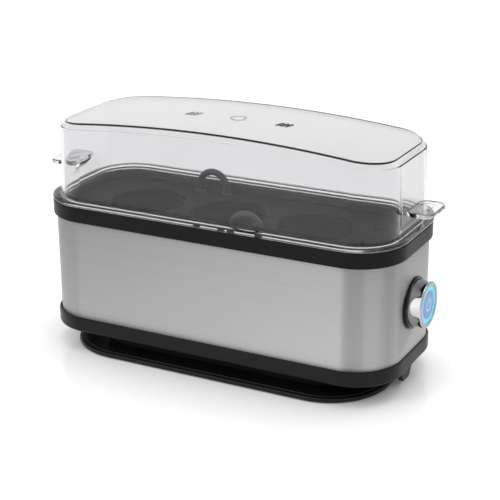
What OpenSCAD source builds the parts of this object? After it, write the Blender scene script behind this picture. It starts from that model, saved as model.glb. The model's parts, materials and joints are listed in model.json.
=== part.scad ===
// Three-egg cooker: steel-sleeved base with a heated water pan, a lift-out
// egg tray, a clear crowned lid and a lit push button at one end.
// Millimetres. +X points to the button end, +Z up, z = 0 under the feet.

/* [Steel sleeve] */
// Outside length of the sleeve
sleeve_l = 201.2; // [190:0.2:245]
// Outside width of the sleeve
sleeve_w = 79.8; // [76:0.2:98]
// Outside corner radius of the sleeve
sleeve_r = 24.5; // [21:0.5:28]
// Sheet thickness of the sleeve
sleeve_t = 0.6; // [0.4:0.1:1]
// Width of the butt seam at the back
seam_w = 0.4; // [0.2:0.1:1]

/* [Heights] */
// Underside of the foot plate above the table
plate_z = 0.6; // [0.3:0.1:1.5]
// Top of the foot plate
plate_top_z = 2.8; // [2.4:0.1:3.4]
// Underside of the base shell, above the cord channel
base_z = 11.5; // [10:0.5:14]
// Top of the bottom band
band_z = 20; // [18:0.5:24]
// Underside of the top rim's outer lip
rim_z = 74.5; // [66:0.5:92]
// Height of the top rim's outer face
rim_h = 8.5; // [7.5:0.5:10]

/* [Base and cord channel] */
// How far the band stands past the sleeve at each end
band_over_l = 1.1; // [0.8:0.1:2]
// How far the band stands past the sleeve at each side
band_over_w = 2.4; // [0.8:0.1:3]
// Thickness of the base shell's floor
floor_t = 2; // [1.6:0.2:3]
// Depth of the pocket that holds the sleeve's lower edge
pocket_d = 4.5; // [3:0.5:6]
// How far each end of the foot plate is set in from the sleeve
plate_in_l = 8.8; // [6:0.2:14]
// How far each side of the foot plate stands past the sleeve
plate_over_w = 3.4; // [1:0.2:5]
// Corner radius of the foot plate
plate_r = 33.3; // [26:0.1:38]
// Depth of the cord channel at the ends and the sides
channel_d = 14; // [11:0.5:17]
// Wall of the drum that the cord winds on
drum_t = 2.2; // [1.6:0.2:3]
// Corner radius of the drum
drum_r = 25; // [18:0.5:28]
// Radius of the rubber feet
foot_r = 6; // [4:0.5:8]
// Depth of the pockets that hold the feet
foot_pocket_d = 1.4; // [0.8:0.1:1.6]
// Bore radius of the cord gland
gland_bore_r = 3.1; // [2.5:0.1:3.2]
// Length of the cord gland
gland_l = 10; // [8:0.5:14]
// Place of the cord gland along the back of the drum
gland_x = 40; // [-45:1:45]

/* [Top rim] */
// How far the rim stands past the sleeve at each end
rim_over_l = 1.8; // [1.2:0.1:3]
// How far the rim stands past the sleeve at each side
rim_over_w = 1.6; // [1.2:0.1:3]
// Width of the rim's flat top
rim_land = 4.2; // [3.6:0.1:5]
// Height of the sloping inner face
slope_h = 5; // [4:0.5:6]
// How far the inner face slopes in
slope_in = 2; // [1:0.1:2.4]
// Thickness of the ledge that carries the pan
ledge_t = 2; // [1.6:0.2:3]
// Height of the rim's inner wall above the ledge
ledge_d = 4.2; // [3.6:0.1:5]

/* [Water pan] */
// How far the pan and the eggs are shifted away from the button
pan_shift = 5.3; // [3:0.1:7]
// Gap from the sleeve to the pan's left wall
pan_end_gap = 13; // [11:0.5:18]
// Gap from the sleeve to the pan's sides
pan_side_gap = 9.4; // [9:0.1:13]
// Inside corner radius of the pan
pan_r = 26; // [18:0.5:28]
// Sheet thickness of the pan
pan_t = 1.4; // [1:0.1:2]
// Inside depth of the pan
pan_d = 20; // [14:0.5:24]
// Thickness of the silicone seal
seal_t = 1.2; // [0.8:0.1:1.6]

/* [Egg tray] */
// Thickness of the tray plate
tray_t = 1.4; // [1:0.1:2]
// Radius of the egg holes
egg_hole_r = 20.5; // [17:0.5:23]
// Distance from one egg to the next
egg_pitch = 50.4; // [46:0.2:61]
// Depth of the collar under each egg hole
collar_h = 3; // [1:0.5:6]
// Thickness of the collars
collar_t = 1.2; // [0.8:0.1:2]
// Centre-line radius of a handle's arch
loop_r = 8.3; // [7:0.1:10]
// Radius of the handle's bar
loop_bar_r = 1.9; // [1.5:0.1:2.2]
// Height of the handles above the tray
loop_h = 13.7; // [12:0.1:16]
// How far each handle is set in from the tray's long edge
loop_in = 5.3; // [4:0.1:8]

/* [Lid] */
// Wall thickness of the lid
lid_t = 1.6; // [1.2:0.1:2.4]
// Thickness of the lid's flange
lid_flange_t = 2; // [1.5:0.1:3]
// How far the wall's foot is set in from the rim's outer face
lid_in = 4.6; // [4:0.1:6]
// Height of the lid above the rim, at its middle
lid_h = 47.9; // [40:0.1:58]
// How much the wall leans in from foot to top
lid_draft = 1.4; // [0.5:0.1:2]
// How much lower the ends of the top are than its middle
crown_h = 6.2; // [3:0.1:9]
// Depth of the skirt that centres the lid in the rim
skirt_d = 1.8; // [1:0.1:2.5]
// Length of each lid tab past the wall's foot
tab_l = 14.7; // [10:0.1:20]
// Half-width of each lid tab
tab_half_w = 12; // [8:0.5:16]
// Thickness of the lid tabs
tab_t = 2.3; // [1.6:0.1:3]
// Height of the tabs' top above the rim
tab_h = 14.5; // [8:0.5:20]
// Corner radius of the lid tabs
tab_r = 5; // [2:0.5:8]
// Distance from the lid's middle to each steam vent
vent_x = 26.3; // [15:0.1:40]
// Length of a steam slot
slot_l = 8; // [5:0.5:10]
// Width of a steam slot
slot_w = 1.7; // [1:0.1:2.2]

/* [Button] */
// Height of the button's axis
button_z = 46; // [42:0.5:52]
// Radius of the button
button_r = 12.25; // [10:0.05:13]
// How far the button's face stands out from the sleeve
button_out = 8.4; // [6:0.2:12]
// How far the button travels when pressed
button_travel = 2; // [1:0.1:2]
// Radial width of the chrome rim around the light ring
button_rim = 2.45; // [1.5:0.05:3]
// Radial width of the light ring
light_w = 2.55; // [1.5:0.05:3.5]
// Wall of the bezel's barrel
bezel_t = 0.7; // [0.5:0.05:1]
// Radial clearance of the button in the bezel
button_fit = 0.08; // [0.03:0.01:0.1]

/* [Hidden] */

$fn = 96;
eps = 0.01;
wire_sides = 8;         // facets round a wire
near = 0.1;             // clearance between pieces of one assembly
snug = 0.03;            // clearance between pieces that are pushed together
free = 0.3;             // clearance between pieces that lift apart
touch = 0.05;           // gap left where one piece bears on another
lap = 0.5;              // how far joined shapes of one piece run into each other

// Outlines: half-length, half-width and corner radius
sa = sleeve_l / 2;
sb = sleeve_w / 2;
ra = sa + rim_over_l;
rb = sb + rim_over_w;
rr = sleeve_r + (rim_over_l + rim_over_w) / 2;
ba = sa + band_over_l;
bb = sb + band_over_w;
br = sleeve_r + (band_over_l + band_over_w) / 2;
fa = sa - plate_in_l;
fb = sb + plate_over_w;
da = fa - channel_d;
db = fb - channel_d;
ha = ra - rim_land - slope_in;
hb = rb - rim_land - slope_in;
hr = rr - rim_land - slope_in;

// Heights
pocket_z = band_z - pocket_d;
rim_top = rim_z + rim_h;
sleeve_lap = 2.6;       // height of sleeve that the rim's lip covers
sleeve_top = rim_z + sleeve_lap;
ledge_z = rim_top - slope_h - ledge_d;
pan_flange_z = ledge_z + seal_t;
tray_z = pan_flange_z + pan_t;
pan_floor_z = tray_z - pan_d;
pan_under_z = pan_floor_z - pan_t;
lid_wall_z = rim_top + lid_flange_t;
lid_top = rim_top + lid_h;
shell_in = 3;           // how far the base shell's inner wall lies in from the sleeve
pan_gap = 0.4;          // gap round the pan in the rim's ledge
seal_in = 2.6;          // how far the seal's inner edge lies in from the rim's wall

// Pan outline, inside
pa = sa - pan_end_gap - pan_shift;
pb = sb - pan_side_gap;

// Fasteners
screw_r = 1.45;
pilot_r = screw_r + touch;
pass_r = 1.8;
head_r = 3;
head_h = 1.6;
hex_r = 1.1;
hex_d = 0.9;
tie_x = sa - 12.6;
tie_y = sb - 12.9;
tie_boss_r = 4.5;
tie_boss_h = 12;
tie_seat_h = 5.5;
tie_seat_r = 5.6;
tie_sink = 3;
tie_top = ledge_z - ledge_t - tie_boss_h;
drum_boss_r = 4.2;
drum_screw_x = da - 11.5;
drum_screw_y = db - 11.8;
drum_screw_top = band_z - 1;
foot_x = fa - 21;
foot_y = fb - 15.5;
foot_dimple = 0.3;
foot_seat_z = plate_z + head_h - 0.4;
foot_screw_l = drum_screw_top - plate_z - 2.5;
tie_screw_l = tie_top - base_z - tie_sink + tie_boss_h - 2;

// Cord gland
gland_r = gland_bore_r + 0.8;
gland_z = (plate_top_z + base_z) / 2;
gland_flange_r = gland_r + 0.35;
gland_flange_t = 1.2;
cord_hole_r = 4.5;
cord_hole_y = db - 15;

// Cord clips under the ends of the band
clip_x = sa - 5.6;
clip_t = 3;
clip_low_z = plate_top_z - 0.4;
clip_bend_z = base_z - 3;
clip_foot_w = 4;
clip_root_w = 8;

// Heater
tube_r = 3.2;
tube_z = pan_under_z - tube_r - touch;
bend_r = 16;
leg_left = -pan_shift - pa + 31;
leg_right = -pan_shift + pa - 18;
pin_r = 1.5;
pin_l = 8;
stud_r = 2;
stud_bottom_z = pan_under_z - 18;
stud_x = [-pan_shift - 25, -pan_shift + 40];
clamp_t = 1.5;
clamp_top_z = tube_z - tube_r - touch;
clamp_half_l = 5;
clamp_half_w = bend_r + 8;
nut_r = 4.04;
nut_h = 2.5;
shield_z = stud_bottom_z + nut_h + lap;
shield_t = 0.6;
shield_lip_h = 4;
shield_in = 7;
shield_r = pan_r - 5;
thermostat_x = -pan_shift + 8;
thermostat_r = 7.8;
thermostat_rim = 0.6;
thermostat_rim_t = 1.8;
thermostat_h = 7.5;
blade = [6.3, 0.8, 4];
blade_y = 5;
blade_low = 11;
fuse_r = 2;
fuse_l = 11;
fuse_x = -pan_shift - 17;
lead_r = 0.5;
lead_l = 4;

// Electronics at the button end
board_x = sa - 16.6;
board_t = 1.6;
board_half_w = 18;
board_below = 24;
board_above = 20;
board_low_z = button_z - board_below;
board_high_z = button_z + board_above;
board_face = board_x + board_t;
rail_x = board_x - 2.5;
rail_t = 6.5;
rail_in_y = board_half_w - 1;
rail_out_y = board_half_w + 2.5;
bracket_boss_x = board_x - 8;
bracket_boss_y = 10;
bracket_boss_r = 3.6;
bracket_tab_z = base_z + 6;
bracket_tab_t = 2.5;
bracket_tab_half = 4;
bracket_screw_l = bracket_tab_t + 4;
block_x = 41;
block_l = 14;
block_half_w = 13;
block_h = 12;
block_hole_x = [3.5, 10.5];
block_hole_y = [-8, 0, 8];
block_hole_r = 2.2;
block_hole_d = 5;
relay = [9.4, 14, 9];
relay_y = 1.5;
buzzer_r = 4.6;
buzzer_h = 5;
buzzer_y = -9;
buzzer_hole_r = 1;
mains_wire_r = 1.3;
mains_wire_y = 3.5;
sensor_wire_r = 1;

// Button
bezel_r = button_r + button_fit;
barrel_r = bezel_r + bezel_t;
bezel_flange_r = barrel_r + bezel_t;
bezel_flange_t = 1.4;
barrel_x = sa - 7.6;
cap_face = sa + button_out;
cap_back = barrel_x - 1.3;
cap_stop_r = barrel_r + 0.2;
cap_wall = 1.25;
web_x = cap_face - 5;
web_t = 1.5;
light_r = button_r - button_rim;
lens_r = light_r - light_w;
stem_r = 2.4;
plunger_r = 1.8;
switch_l = 5.4;
switch_back = 0.4;
switch_bore_r = plunger_r + touch;
stem_shoulder = board_face + switch_l + button_travel + near;
plunger_end = board_face + switch_back + button_travel;
led_circle_r = (light_r + lens_r) / 2;
led_r = 1.5;
led_h = 1.6;
switch_half_w = led_circle_r - led_r - 1;
symbol_r = 0.47 * lens_r;
symbol_w = 0.1 * lens_r;
symbol_t = 0.15;
face_in = 0.4;          // how far the lens lies behind the chrome rim

// ---- shared shapes ----

// Rounded rectangle with true arcs at its corners
module outline(a, b, r) {
    square([2 * a, 2 * (b - r)], center = true);
    square([2 * (a - r), 2 * b], center = true);
    for (x = [-1, 1], y = [-1, 1])
        translate([x * (a - r), y * (b - r)])
            circle(r);
}

// Upright block with a rounded-rectangle outline
module block(a, b, r, z0, z1)
    translate([0, 0, z0])
        linear_extrude(z1 - z0)
            outline(a, b, r);

// Block whose four walls lean in by d over its height
module leaning_block(a, b, r, d, h) {
    rotate([90, 0, 0])
        linear_extrude(2 * (b - r), center = true)
            polygon([[-a, 0], [a, 0], [a - d, h], [d - a, h]]);
    rotate([90, 0, 90])
        linear_extrude(2 * (a - r), center = true)
            polygon([[-b, 0], [b, 0], [b - d, h], [d - b, h]]);
    for (x = [-1, 1], y = [-1, 1])
        translate([x * (a - r), y * (b - r), 0])
            cylinder(h = h, r1 = r, r2 = r - d);
}

// Rod along +X on the button's axis
module x_rod(x0, x1, r)
    translate([x0, 0, button_z])
        rotate([0, 90, 0])
            cylinder(h = x1 - x0, r = r);

// Places its children at the four mirrored corners
module corners(x, y)
    for (sx = [-1, 1], sy = [-1, 1])
        translate([sx * x, sy * y, 0])
            children();

// Direction of a route at its point i, halfway between the stretches that meet there
function unit(v) = v / norm(v);
function heading(p, i) = unit(
    (i > 0 ? unit(p[i] - p[i - 1]) : [0, 0, 0])
    + (i < len(p) - 1 ? unit(p[i + 1] - p[i]) : [0, 0, 0])
);

// Ring of points round a route's point i, square to its heading
function wire_ring(p, i, r) =
    let (ahead = heading(p, i), side = unit(cross([0, 0, 1], ahead)), up = cross(ahead, side))
    [for (k = [0 : wire_sides - 1])
        p[i] + r * (cos(k * 360 / wire_sides) * side + sin(k * 360 / wire_sides) * up)];

// Insulated wire swept through a list of points
module wire(route, r) {
    last = (len(route) - 1) * wire_sides;
    polyhedron(
        [for (i = [0 : len(route) - 1]) each wire_ring(route, i, r)],
        concat(
            [[for (k = [0 : wire_sides - 1]) k]],
            [[for (k = [wire_sides - 1 : -1 : 0]) last + k]],
            [for (i = [0 : len(route) - 2], k = [0 : wire_sides - 1])
                let (a = i * wire_sides + k, b = i * wire_sides + (k + 1) % wire_sides)
                [b, a, a + wire_sides, b + wire_sides]]
        )
    );
}

// Pan-head screw with a hex socket, head down, with the underside of the head at z = 0
module screw(length)
    difference() {
        union() {
            translate([0, 0, -head_h])
                cylinder(h = head_h, r = head_r);
            cylinder(h = length, r = screw_r);
        }
        translate([0, 0, -head_h - eps])
            cylinder(h = hex_d, r = hex_r, $fn = 6);
    }

// ---- underside ----

module foot_plate()
    color("#232323")
        difference() {
            block(fa, fb, plate_r, plate_z, plate_top_z);
            corners(foot_x, foot_y)
                cylinder(h = plate_z + foot_pocket_d, r = foot_r + near);
            corners(drum_screw_x, drum_screw_y) {
                cylinder(h = plate_top_z + 1, r = pass_r);
                cylinder(h = foot_seat_z, r = head_r + free);
            }
        }

module rubber_feet()
    color("#1c1c1c")
        corners(foot_x, foot_y)
            difference() {
                cylinder(h = plate_z + foot_pocket_d, r = foot_r);
                translate([0, 0, -eps])
                    cylinder(h = foot_dimple + eps, r = foot_r / 2);
            }

module foot_screws()
    color("silver")
        corners(drum_screw_x, drum_screw_y)
            translate([0, 0, foot_seat_z])
                screw(foot_screw_l);

module spool_drum()
    color("#202020")
        difference() {
            union() {
                difference() {
                    block(da, db, drum_r, plate_top_z, base_z);
                    block(da - drum_t, db - drum_t, drum_r - drum_t, plate_top_z - 1, base_z + 1);
                }
                corners(drum_screw_x, drum_screw_y)
                    translate([0, 0, plate_top_z])
                        cylinder(h = base_z - plate_top_z, r = drum_boss_r);
            }
            corners(drum_screw_x, drum_screw_y)
                cylinder(h = base_z + 1, r = pass_r);
            translate([gland_x, db + 1, gland_z])
                rotate([90, 0, 0])
                    cylinder(h = drum_t + 2, r = gland_r + touch);
        }

module cord_gland()
    color("#181818")
        translate([gland_x, 0, gland_z])
            rotate([-90, 0, 0])
                difference() {
                    union() {
                        translate([0, 0, db - gland_l + gland_flange_t])
                            cylinder(h = gland_l, r = gland_r);
                        translate([0, 0, db])
                            cylinder(h = gland_flange_t, r = gland_flange_r);
                    }
                    translate([0, 0, db - gland_l])
                        cylinder(h = gland_l + 2, r = gland_bore_r);
                }

module cord_clips()
    color("#242424")
        for (side = [-1, 1])
            translate([side * (clip_x + clip_t / 2), 0, 0])
                rotate([90, 0, 90])
                    linear_extrude(clip_t, center = true)
                        polygon([
                            [-clip_root_w, base_z], [-clip_root_w, clip_bend_z],
                            [-clip_foot_w, clip_low_z], [clip_foot_w, clip_low_z],
                            [clip_root_w, clip_bend_z], [clip_root_w, base_z]
                        ]);

module base_shell()
    color("#262626")
        difference() {
            union() {
                difference() {
                    block(ba, bb, br, base_z, band_z);
                    block(sa + near, sb + near, sleeve_r + near, pocket_z, band_z + 1);
                    block(sa - shell_in, sb - shell_in, sleeve_r - shell_in,
                          base_z + floor_t, band_z + 1);
                }
                corners(tie_x, tie_y)
                    translate([0, 0, base_z])
                        cylinder(h = tie_seat_h, r = tie_seat_r);
                corners(drum_screw_x, drum_screw_y)
                    translate([0, 0, base_z])
                        cylinder(h = drum_screw_top - base_z, r = drum_boss_r);
                for (side = [-1, 1])
                    translate([bracket_boss_x, side * bracket_boss_y, base_z])
                        cylinder(h = bracket_tab_z - base_z, r = bracket_boss_r);
            }
            corners(tie_x, tie_y)
                translate([0, 0, base_z - 1]) {
                    cylinder(h = tie_seat_h + 2, r = pass_r);
                    cylinder(h = tie_sink + 1, r = head_r + free);
                }
            corners(drum_screw_x, drum_screw_y)
                translate([0, 0, base_z - 1])
                    cylinder(h = drum_screw_top - base_z, r = pilot_r);
            for (side = [-1, 1])
                translate([bracket_boss_x, side * bracket_boss_y, base_z + 1])
                    cylinder(h = bracket_tab_z - base_z, r = pilot_r);
            translate([gland_x, cord_hole_y, base_z - 1])
                cylinder(h = floor_t + 2, r = cord_hole_r);
        }

// ---- body ----

module tie_posts()
    color("#303030")
        corners(tie_x, tie_y)
            translate([0, 0, base_z + tie_seat_h])
                difference() {
                    cylinder(h = tie_top - base_z - tie_seat_h, r = tie_boss_r);
                    translate([0, 0, -1])
                        cylinder(h = tie_top, r = pass_r);
                }

module tie_screws()
    color("silver")
        corners(tie_x, tie_y)
            translate([0, 0, base_z + tie_sink])
                screw(tie_screw_l);

module sleeve()
    color("#b9bbbc")
        difference() {
            block(sa, sb, sleeve_r, pocket_z, sleeve_top);
            block(sa - sleeve_t, sb - sleeve_t, sleeve_r - sleeve_t, pocket_z - 1, sleeve_top + 1);
            x_rod(sa - 3, sa + 3, barrel_r + near);
            translate([-seam_w / 2, sb - 2, pocket_z - 1])
                cube([seam_w, 4, sleeve_top - pocket_z + 2]);
        }

module top_rim()
    color("#232323")
        difference() {
            union() {
                block(ra, rb, rr, sleeve_top + near, rim_top);
                difference() {
                    block(ra, rb, rr, rim_z, sleeve_top + near);
                    block(sa + near, sb + near, sleeve_r + near, rim_z - 1, sleeve_top + 1);
                }
                block(sa - sleeve_t - near, sb - sleeve_t - near, sleeve_r - sleeve_t - near,
                      ledge_z - ledge_t, sleeve_top + near);
                corners(tie_x, tie_y)
                    translate([0, 0, tie_top])
                        cylinder(h = tie_boss_h + ledge_t / 2, r = tie_boss_r);
            }
            translate([0, 0, rim_top - slope_h])
                leaning_block(ha, hb, hr, -slope_in * (slope_h + 1) / slope_h, slope_h + 1);
            block(ha, hb, hr, ledge_z, rim_top - slope_h + lap);
            translate([-pan_shift, 0, 0])
                block(pa + pan_t + pan_gap, pb + pan_t + pan_gap, pan_r + pan_t + pan_gap,
                      ledge_z - ledge_t - 1, ledge_z + 1);
            corners(tie_x, tie_y)
                translate([0, 0, tie_top - 1])
                    cylinder(h = tie_boss_h, r = pilot_r);
        }

module pan_seal()
    color("#3a3a3a")
        difference() {
            block(ha - free, hb - free, hr - free, ledge_z, ledge_z + seal_t);
            block(ha - seal_in, hb - seal_in, hr - seal_in, ledge_z - 1, ledge_z + seal_t + 1);
        }

module water_pan()
    color("#4c4d4f")
        difference() {
            union() {
                block(ha - free, hb - free, hr - free, pan_flange_z, tray_z);
                translate([-pan_shift, 0, 0])
                    block(pa + pan_t, pb + pan_t, pan_r + pan_t, pan_under_z, tray_z - lap);
            }
            translate([-pan_shift, 0, 0])
                block(pa, pb, pan_r, pan_floor_z, tray_z + 1);
        }

// ---- heater ----

module pan_studs()
    color("silver")
        for (x = stud_x)
            translate([x, 0, stud_bottom_z])
                cylinder(h = pan_under_z - stud_bottom_z, r = stud_r, $fn = 48);

module heating_element()
    color("#6e6a64") {
        translate([leg_left, 0, tube_z])
            rotate([0, 0, 90])
                rotate_extrude(angle = 180)
                    translate([bend_r, 0])
                        circle(tube_r, $fn = 48);
        for (side = [-1, 1])
            translate([leg_left, side * bend_r, tube_z])
                rotate([0, 90, 0]) {
                    cylinder(h = leg_right - leg_left, r = tube_r, $fn = 48);
                    cylinder(h = leg_right - leg_left + pin_l, r = pin_r, $fn = 24);
                }
    }

module element_clamps()
    color("#a8a8a8")
        for (x = stud_x)
            translate([x, 0, clamp_top_z - clamp_t])
                difference() {
                    translate([-clamp_half_l, -clamp_half_w, 0])
                        cube([2 * clamp_half_l, 2 * clamp_half_w, clamp_t]);
                    translate([0, 0, -1])
                        cylinder(h = clamp_t + 2, r = stud_r + near, $fn = 48);
                }

// Hex nuts on the studs, with their top at height z
module stud_nuts(z)
    for (x = stud_x)
        translate([x, 0, z - nut_h])
            difference() {
                cylinder(h = nut_h, r = nut_r, $fn = 6);
                translate([0, 0, -1])
                    cylinder(h = nut_h + 2, r = stud_r + touch, $fn = 48);
            }

module clamp_nuts()
    color("silver")
        stud_nuts(clamp_top_z - clamp_t);

module heat_shield()
    color("#c4c4c4")
        difference() {
            translate([-pan_shift, 0, 0])
                difference() {
                    block(pa - shield_in, pb - shield_in / 2, shield_r,
                          shield_z, shield_z + shield_lip_h);
                    block(pa - shield_in - shield_t, pb - shield_in / 2 - shield_t,
                          shield_r - shield_t, shield_z + shield_t, shield_z + shield_lip_h + 1);
                }
            for (x = stud_x)
                translate([x, 0, shield_z - 1])
                    cylinder(h = 3, r = stud_r + near, $fn = 48);
        }

module shield_nuts()
    color("silver")
        stud_nuts(shield_z);

module thermostat()
    color("#2b2b2b")
        translate([thermostat_x, 0, pan_under_z - near]) {
            translate([0, 0, -thermostat_rim_t])
                cylinder(h = thermostat_rim_t, r = thermostat_r + thermostat_rim);
            translate([0, 0, -thermostat_h])
                cylinder(h = thermostat_h - thermostat_rim_t + lap, r = thermostat_r);
            for (side = [-1, 1])
                translate([-blade[0] / 2, side * blade_y - blade[1] / 2, -blade_low])
                    cube(blade);
        }

module thermal_fuse()
    color("#d8d2c4")
        translate([fuse_x, 0, pan_under_z - fuse_r - near])
            rotate([0, 90, 0]) {
                cylinder(h = fuse_l, r = fuse_r, $fn = 32);
                translate([0, 0, -lead_l])
                    cylinder(h = fuse_l + 2 * lead_l, r = lead_r, $fn = 24);
            }

// ---- electronics ----

module terminal_block()
    color("#e6e2d8")
        difference() {
            translate([block_x, -block_half_w, base_z + floor_t])
                cube([block_l, 2 * block_half_w, block_h]);
            for (y = block_hole_y, x = block_hole_x)
                translate([block_x + x, y, base_z + floor_t + block_h - block_hole_d])
                    cylinder(h = block_hole_d + 1, r = block_hole_r, $fn = 32);
        }

module board_bracket()
    color("#2a2a2a")
        difference() {
            union() {
                for (side = [-1, 1]) {
                    translate([rail_x, side * (rail_in_y + rail_out_y) / 2, base_z + floor_t])
                        translate([0, (rail_in_y - rail_out_y) / 2, 0])
                            cube([rail_t, rail_out_y - rail_in_y, board_high_z - base_z]);
                    translate([bracket_boss_x - bracket_tab_half,
                               side * bracket_boss_y - bracket_tab_half, bracket_tab_z])
                        cube([rail_x - bracket_boss_x + bracket_tab_half + 1,
                              2 * bracket_tab_half, bracket_tab_t]);
                }
                translate([rail_x, -rail_out_y, base_z + floor_t])
                    cube([rail_t, 2 * rail_out_y, board_low_z - base_z - floor_t]);
            }
            translate([board_x - near / 2, -board_half_w - near, board_low_z])
                cube([board_t + near, 2 * (board_half_w + near), board_high_z]);
            for (side = [-1, 1])
                translate([bracket_boss_x, side * bracket_boss_y, bracket_tab_z - 1])
                    cylinder(h = bracket_tab_t + 2, r = pass_r);
        }

module bracket_screws()
    color("silver")
        for (side = [-1, 1])
            translate([bracket_boss_x, side * bracket_boss_y, bracket_tab_z + bracket_tab_t])
                mirror([0, 0, 1])
                    screw(bracket_screw_l);

module control_board()
    color("#2e6b3e")
        translate([board_x, -board_half_w, board_low_z])
            cube([board_t, 2 * board_half_w, board_high_z - board_low_z]);

module power_relay()
    color("#3b6fb0")
        translate([board_face, relay_y, board_low_z + lap])
            cube(relay);

module buzzer()
    color("#1f1f1f")
        translate([board_face, buzzer_y, board_low_z + buzzer_r + lap])
            rotate([0, 90, 0])
                difference() {
                    cylinder(h = buzzer_h, r = buzzer_r);
                    translate([0, 0, buzzer_h - 1])
                        cylinder(h = 2, r = buzzer_hole_r, $fn = 24);
                }

module leds()
    color("#bdf3ff")
        for (turn = [0 : 90 : 270])
            translate([board_face, 0, button_z])
                rotate([turn, 0, 0])
                    translate([0, led_circle_r, 0])
                        rotate([0, 90, 0]) {
                            cylinder(h = led_h, r = led_r, $fn = 32);
                            translate([0, 0, led_h])
                                sphere(led_r, $fn = 32);
                        }

module push_switch()
    color("#33363a")
        difference() {
            translate([board_face, -switch_half_w, button_z - switch_half_w])
                cube([switch_l, 2 * switch_half_w, 2 * switch_half_w]);
            x_rod(board_face + switch_back, board_face + switch_l + 1, switch_bore_r);
        }

module mains_wires()
    color("#5a3b28")
        for (side = [-1, 1])
            wire([
                [block_x + block_l, side * mains_wire_y, base_z + 8],
                [block_x + block_l + 7, side * mains_wire_y, base_z + 8],
                [board_x - 11, side * mains_wire_y, base_z + 15],
                [board_x - 4, side * mains_wire_y, base_z + 17],
                [board_x, side * mains_wire_y, base_z + 17]
            ], mains_wire_r);

module heater_wires()
    color("#c8c4ba")
        for (side = [-1, 1])
            wire([
                [leg_right + pin_l, side * bend_r, tube_z],
                [leg_right + pin_l + 3, side * bend_r, tube_z],
                [board_x - 8, side * 13, button_z + 2],
                [board_x - 3, side * 12, button_z],
                [board_x, side * 12, button_z]
            ], mains_wire_r);

module sensor_wires()
    color("#c8c4ba")
        for (side = [-1, 1])
            wire([
                [thermostat_x + blade[0] / 2, side * blade_y, shield_z + 5.5],
                [thermostat_x + 6, side * blade_y, shield_z + 5.5],
                [thermostat_x + 16, side * 9, shield_z + 5.5],
                [leg_right + 14, side * 9, shield_z + 5.5],
                [board_x - 4, side * 7, button_z - 10],
                [board_x, side * 7, button_z - 10]
            ], sensor_wire_r);

// ---- button ----

module button_bezel()
    color("#1d1d1d")
        difference() {
            union() {
                x_rod(barrel_x, sa + bezel_flange_t, barrel_r);
                x_rod(sa, sa + bezel_flange_t, bezel_flange_r);
            }
            x_rod(barrel_x - 1, sa + bezel_flange_t + 1, bezel_r);
        }

module button_cap()
    color("#d5d8da")
        difference() {
            union() {
                x_rod(barrel_x - 0.5, cap_face, button_r);
                x_rod(cap_back, barrel_x - near, cap_stop_r);
            }
            x_rod(cap_back - 1, web_x, button_r - cap_wall);
            x_rod(web_x + web_t, cap_face + 1, light_r);
        }

module button_stem()
    color("#e8e8e8") {
        x_rod(stem_shoulder, web_x, stem_r);
        x_rod(plunger_end, stem_shoulder + eps, plunger_r);
    }

module light_ring()
    color("#5ae8ff")
        difference() {
            x_rod(web_x + web_t, cap_face - face_in, light_r - snug);
            x_rod(web_x, cap_face + 1, lens_r);
        }

module button_lens()
    color("#9098d0")
        x_rod(web_x + web_t, cap_face - face_in, lens_r - snug);

module power_symbol()
    color("#9fe6ff")
        translate([cap_face - face_in, 0, button_z])
            rotate([90, 0, 90])
                linear_extrude(symbol_t) {
                    difference() {
                        circle(symbol_r);
                        circle(symbol_r - symbol_w);
                        polygon([[0, 0], [-symbol_r, 1.6 * symbol_r], [symbol_r, 1.6 * symbol_r]]);
                    }
                    translate([-symbol_w / 2, symbol_r / 4])
                        square([symbol_w, symbol_r]);
                }

// ---- egg tray ----

tray_a = ra - lid_in - lid_t - lid_draft - free;
tray_b = rb - lid_in - lid_t - lid_draft - near;
tray_r = rr - lid_in - lid_t - lid_draft - near;
tray_top = tray_z + tray_t;
egg_x = [for (i = [-1 : 1]) i * egg_pitch - pan_shift];
loop_y = tray_b - loop_in;
drain_x = egg_x[2] + egg_hole_r + 10.5;
drain_y = 10;
drain_r = 1.6;
loop_places = [[egg_x[1] + egg_pitch / 2, -loop_y], [egg_x[1] - egg_pitch / 2, loop_y]];

module tray_plate()
    color("#4a4a4b")
        difference() {
            union() {
                block(tray_a, tray_b, tray_r, tray_z, tray_top);
                for (x = egg_x)
                    translate([x, 0, tray_z - collar_h])
                        cylinder(h = collar_h + lap, r = egg_hole_r + collar_t);
            }
            for (x = egg_x)
                translate([x, 0, tray_z - collar_h - 1])
                    cylinder(h = collar_h + tray_t + 2, r = egg_hole_r);
            for (side = [-1, 1])
                translate([drain_x, side * drain_y, tray_z - 1])
                    cylinder(h = tray_t + 2, r = drain_r, $fn = 32);
        }

module tray_handles()
    color("#4b5558")
        for (place = loop_places)
            translate([place[0], place[1], tray_top]) {
                translate([0, 0, loop_h - loop_bar_r - loop_r])
                    rotate([90, 0, 0])
                        rotate_extrude(angle = 180)
                            translate([loop_r, 0])
                                circle(loop_bar_r, $fn = 48);
                for (side = [-1, 1])
                    translate([side * loop_r, 0, 0])
                        cylinder(h = loop_h - loop_bar_r - loop_r, r = loop_bar_r, $fn = 48);
            }

// ---- lid ----

lid_a = ra - lid_in;
lid_b = rb - lid_in;
lid_r = rr - lid_in;
crown_r = (pow(lid_a, 2) + pow(crown_h, 2)) / (2 * crown_h);
lean = lid_draft / (lid_top - lid_wall_z);
skirt_in = 0.8;         // how far the skirt lies in from the wall's foot
slot_pitch = 2.9;
slot_turn = -20;

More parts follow.
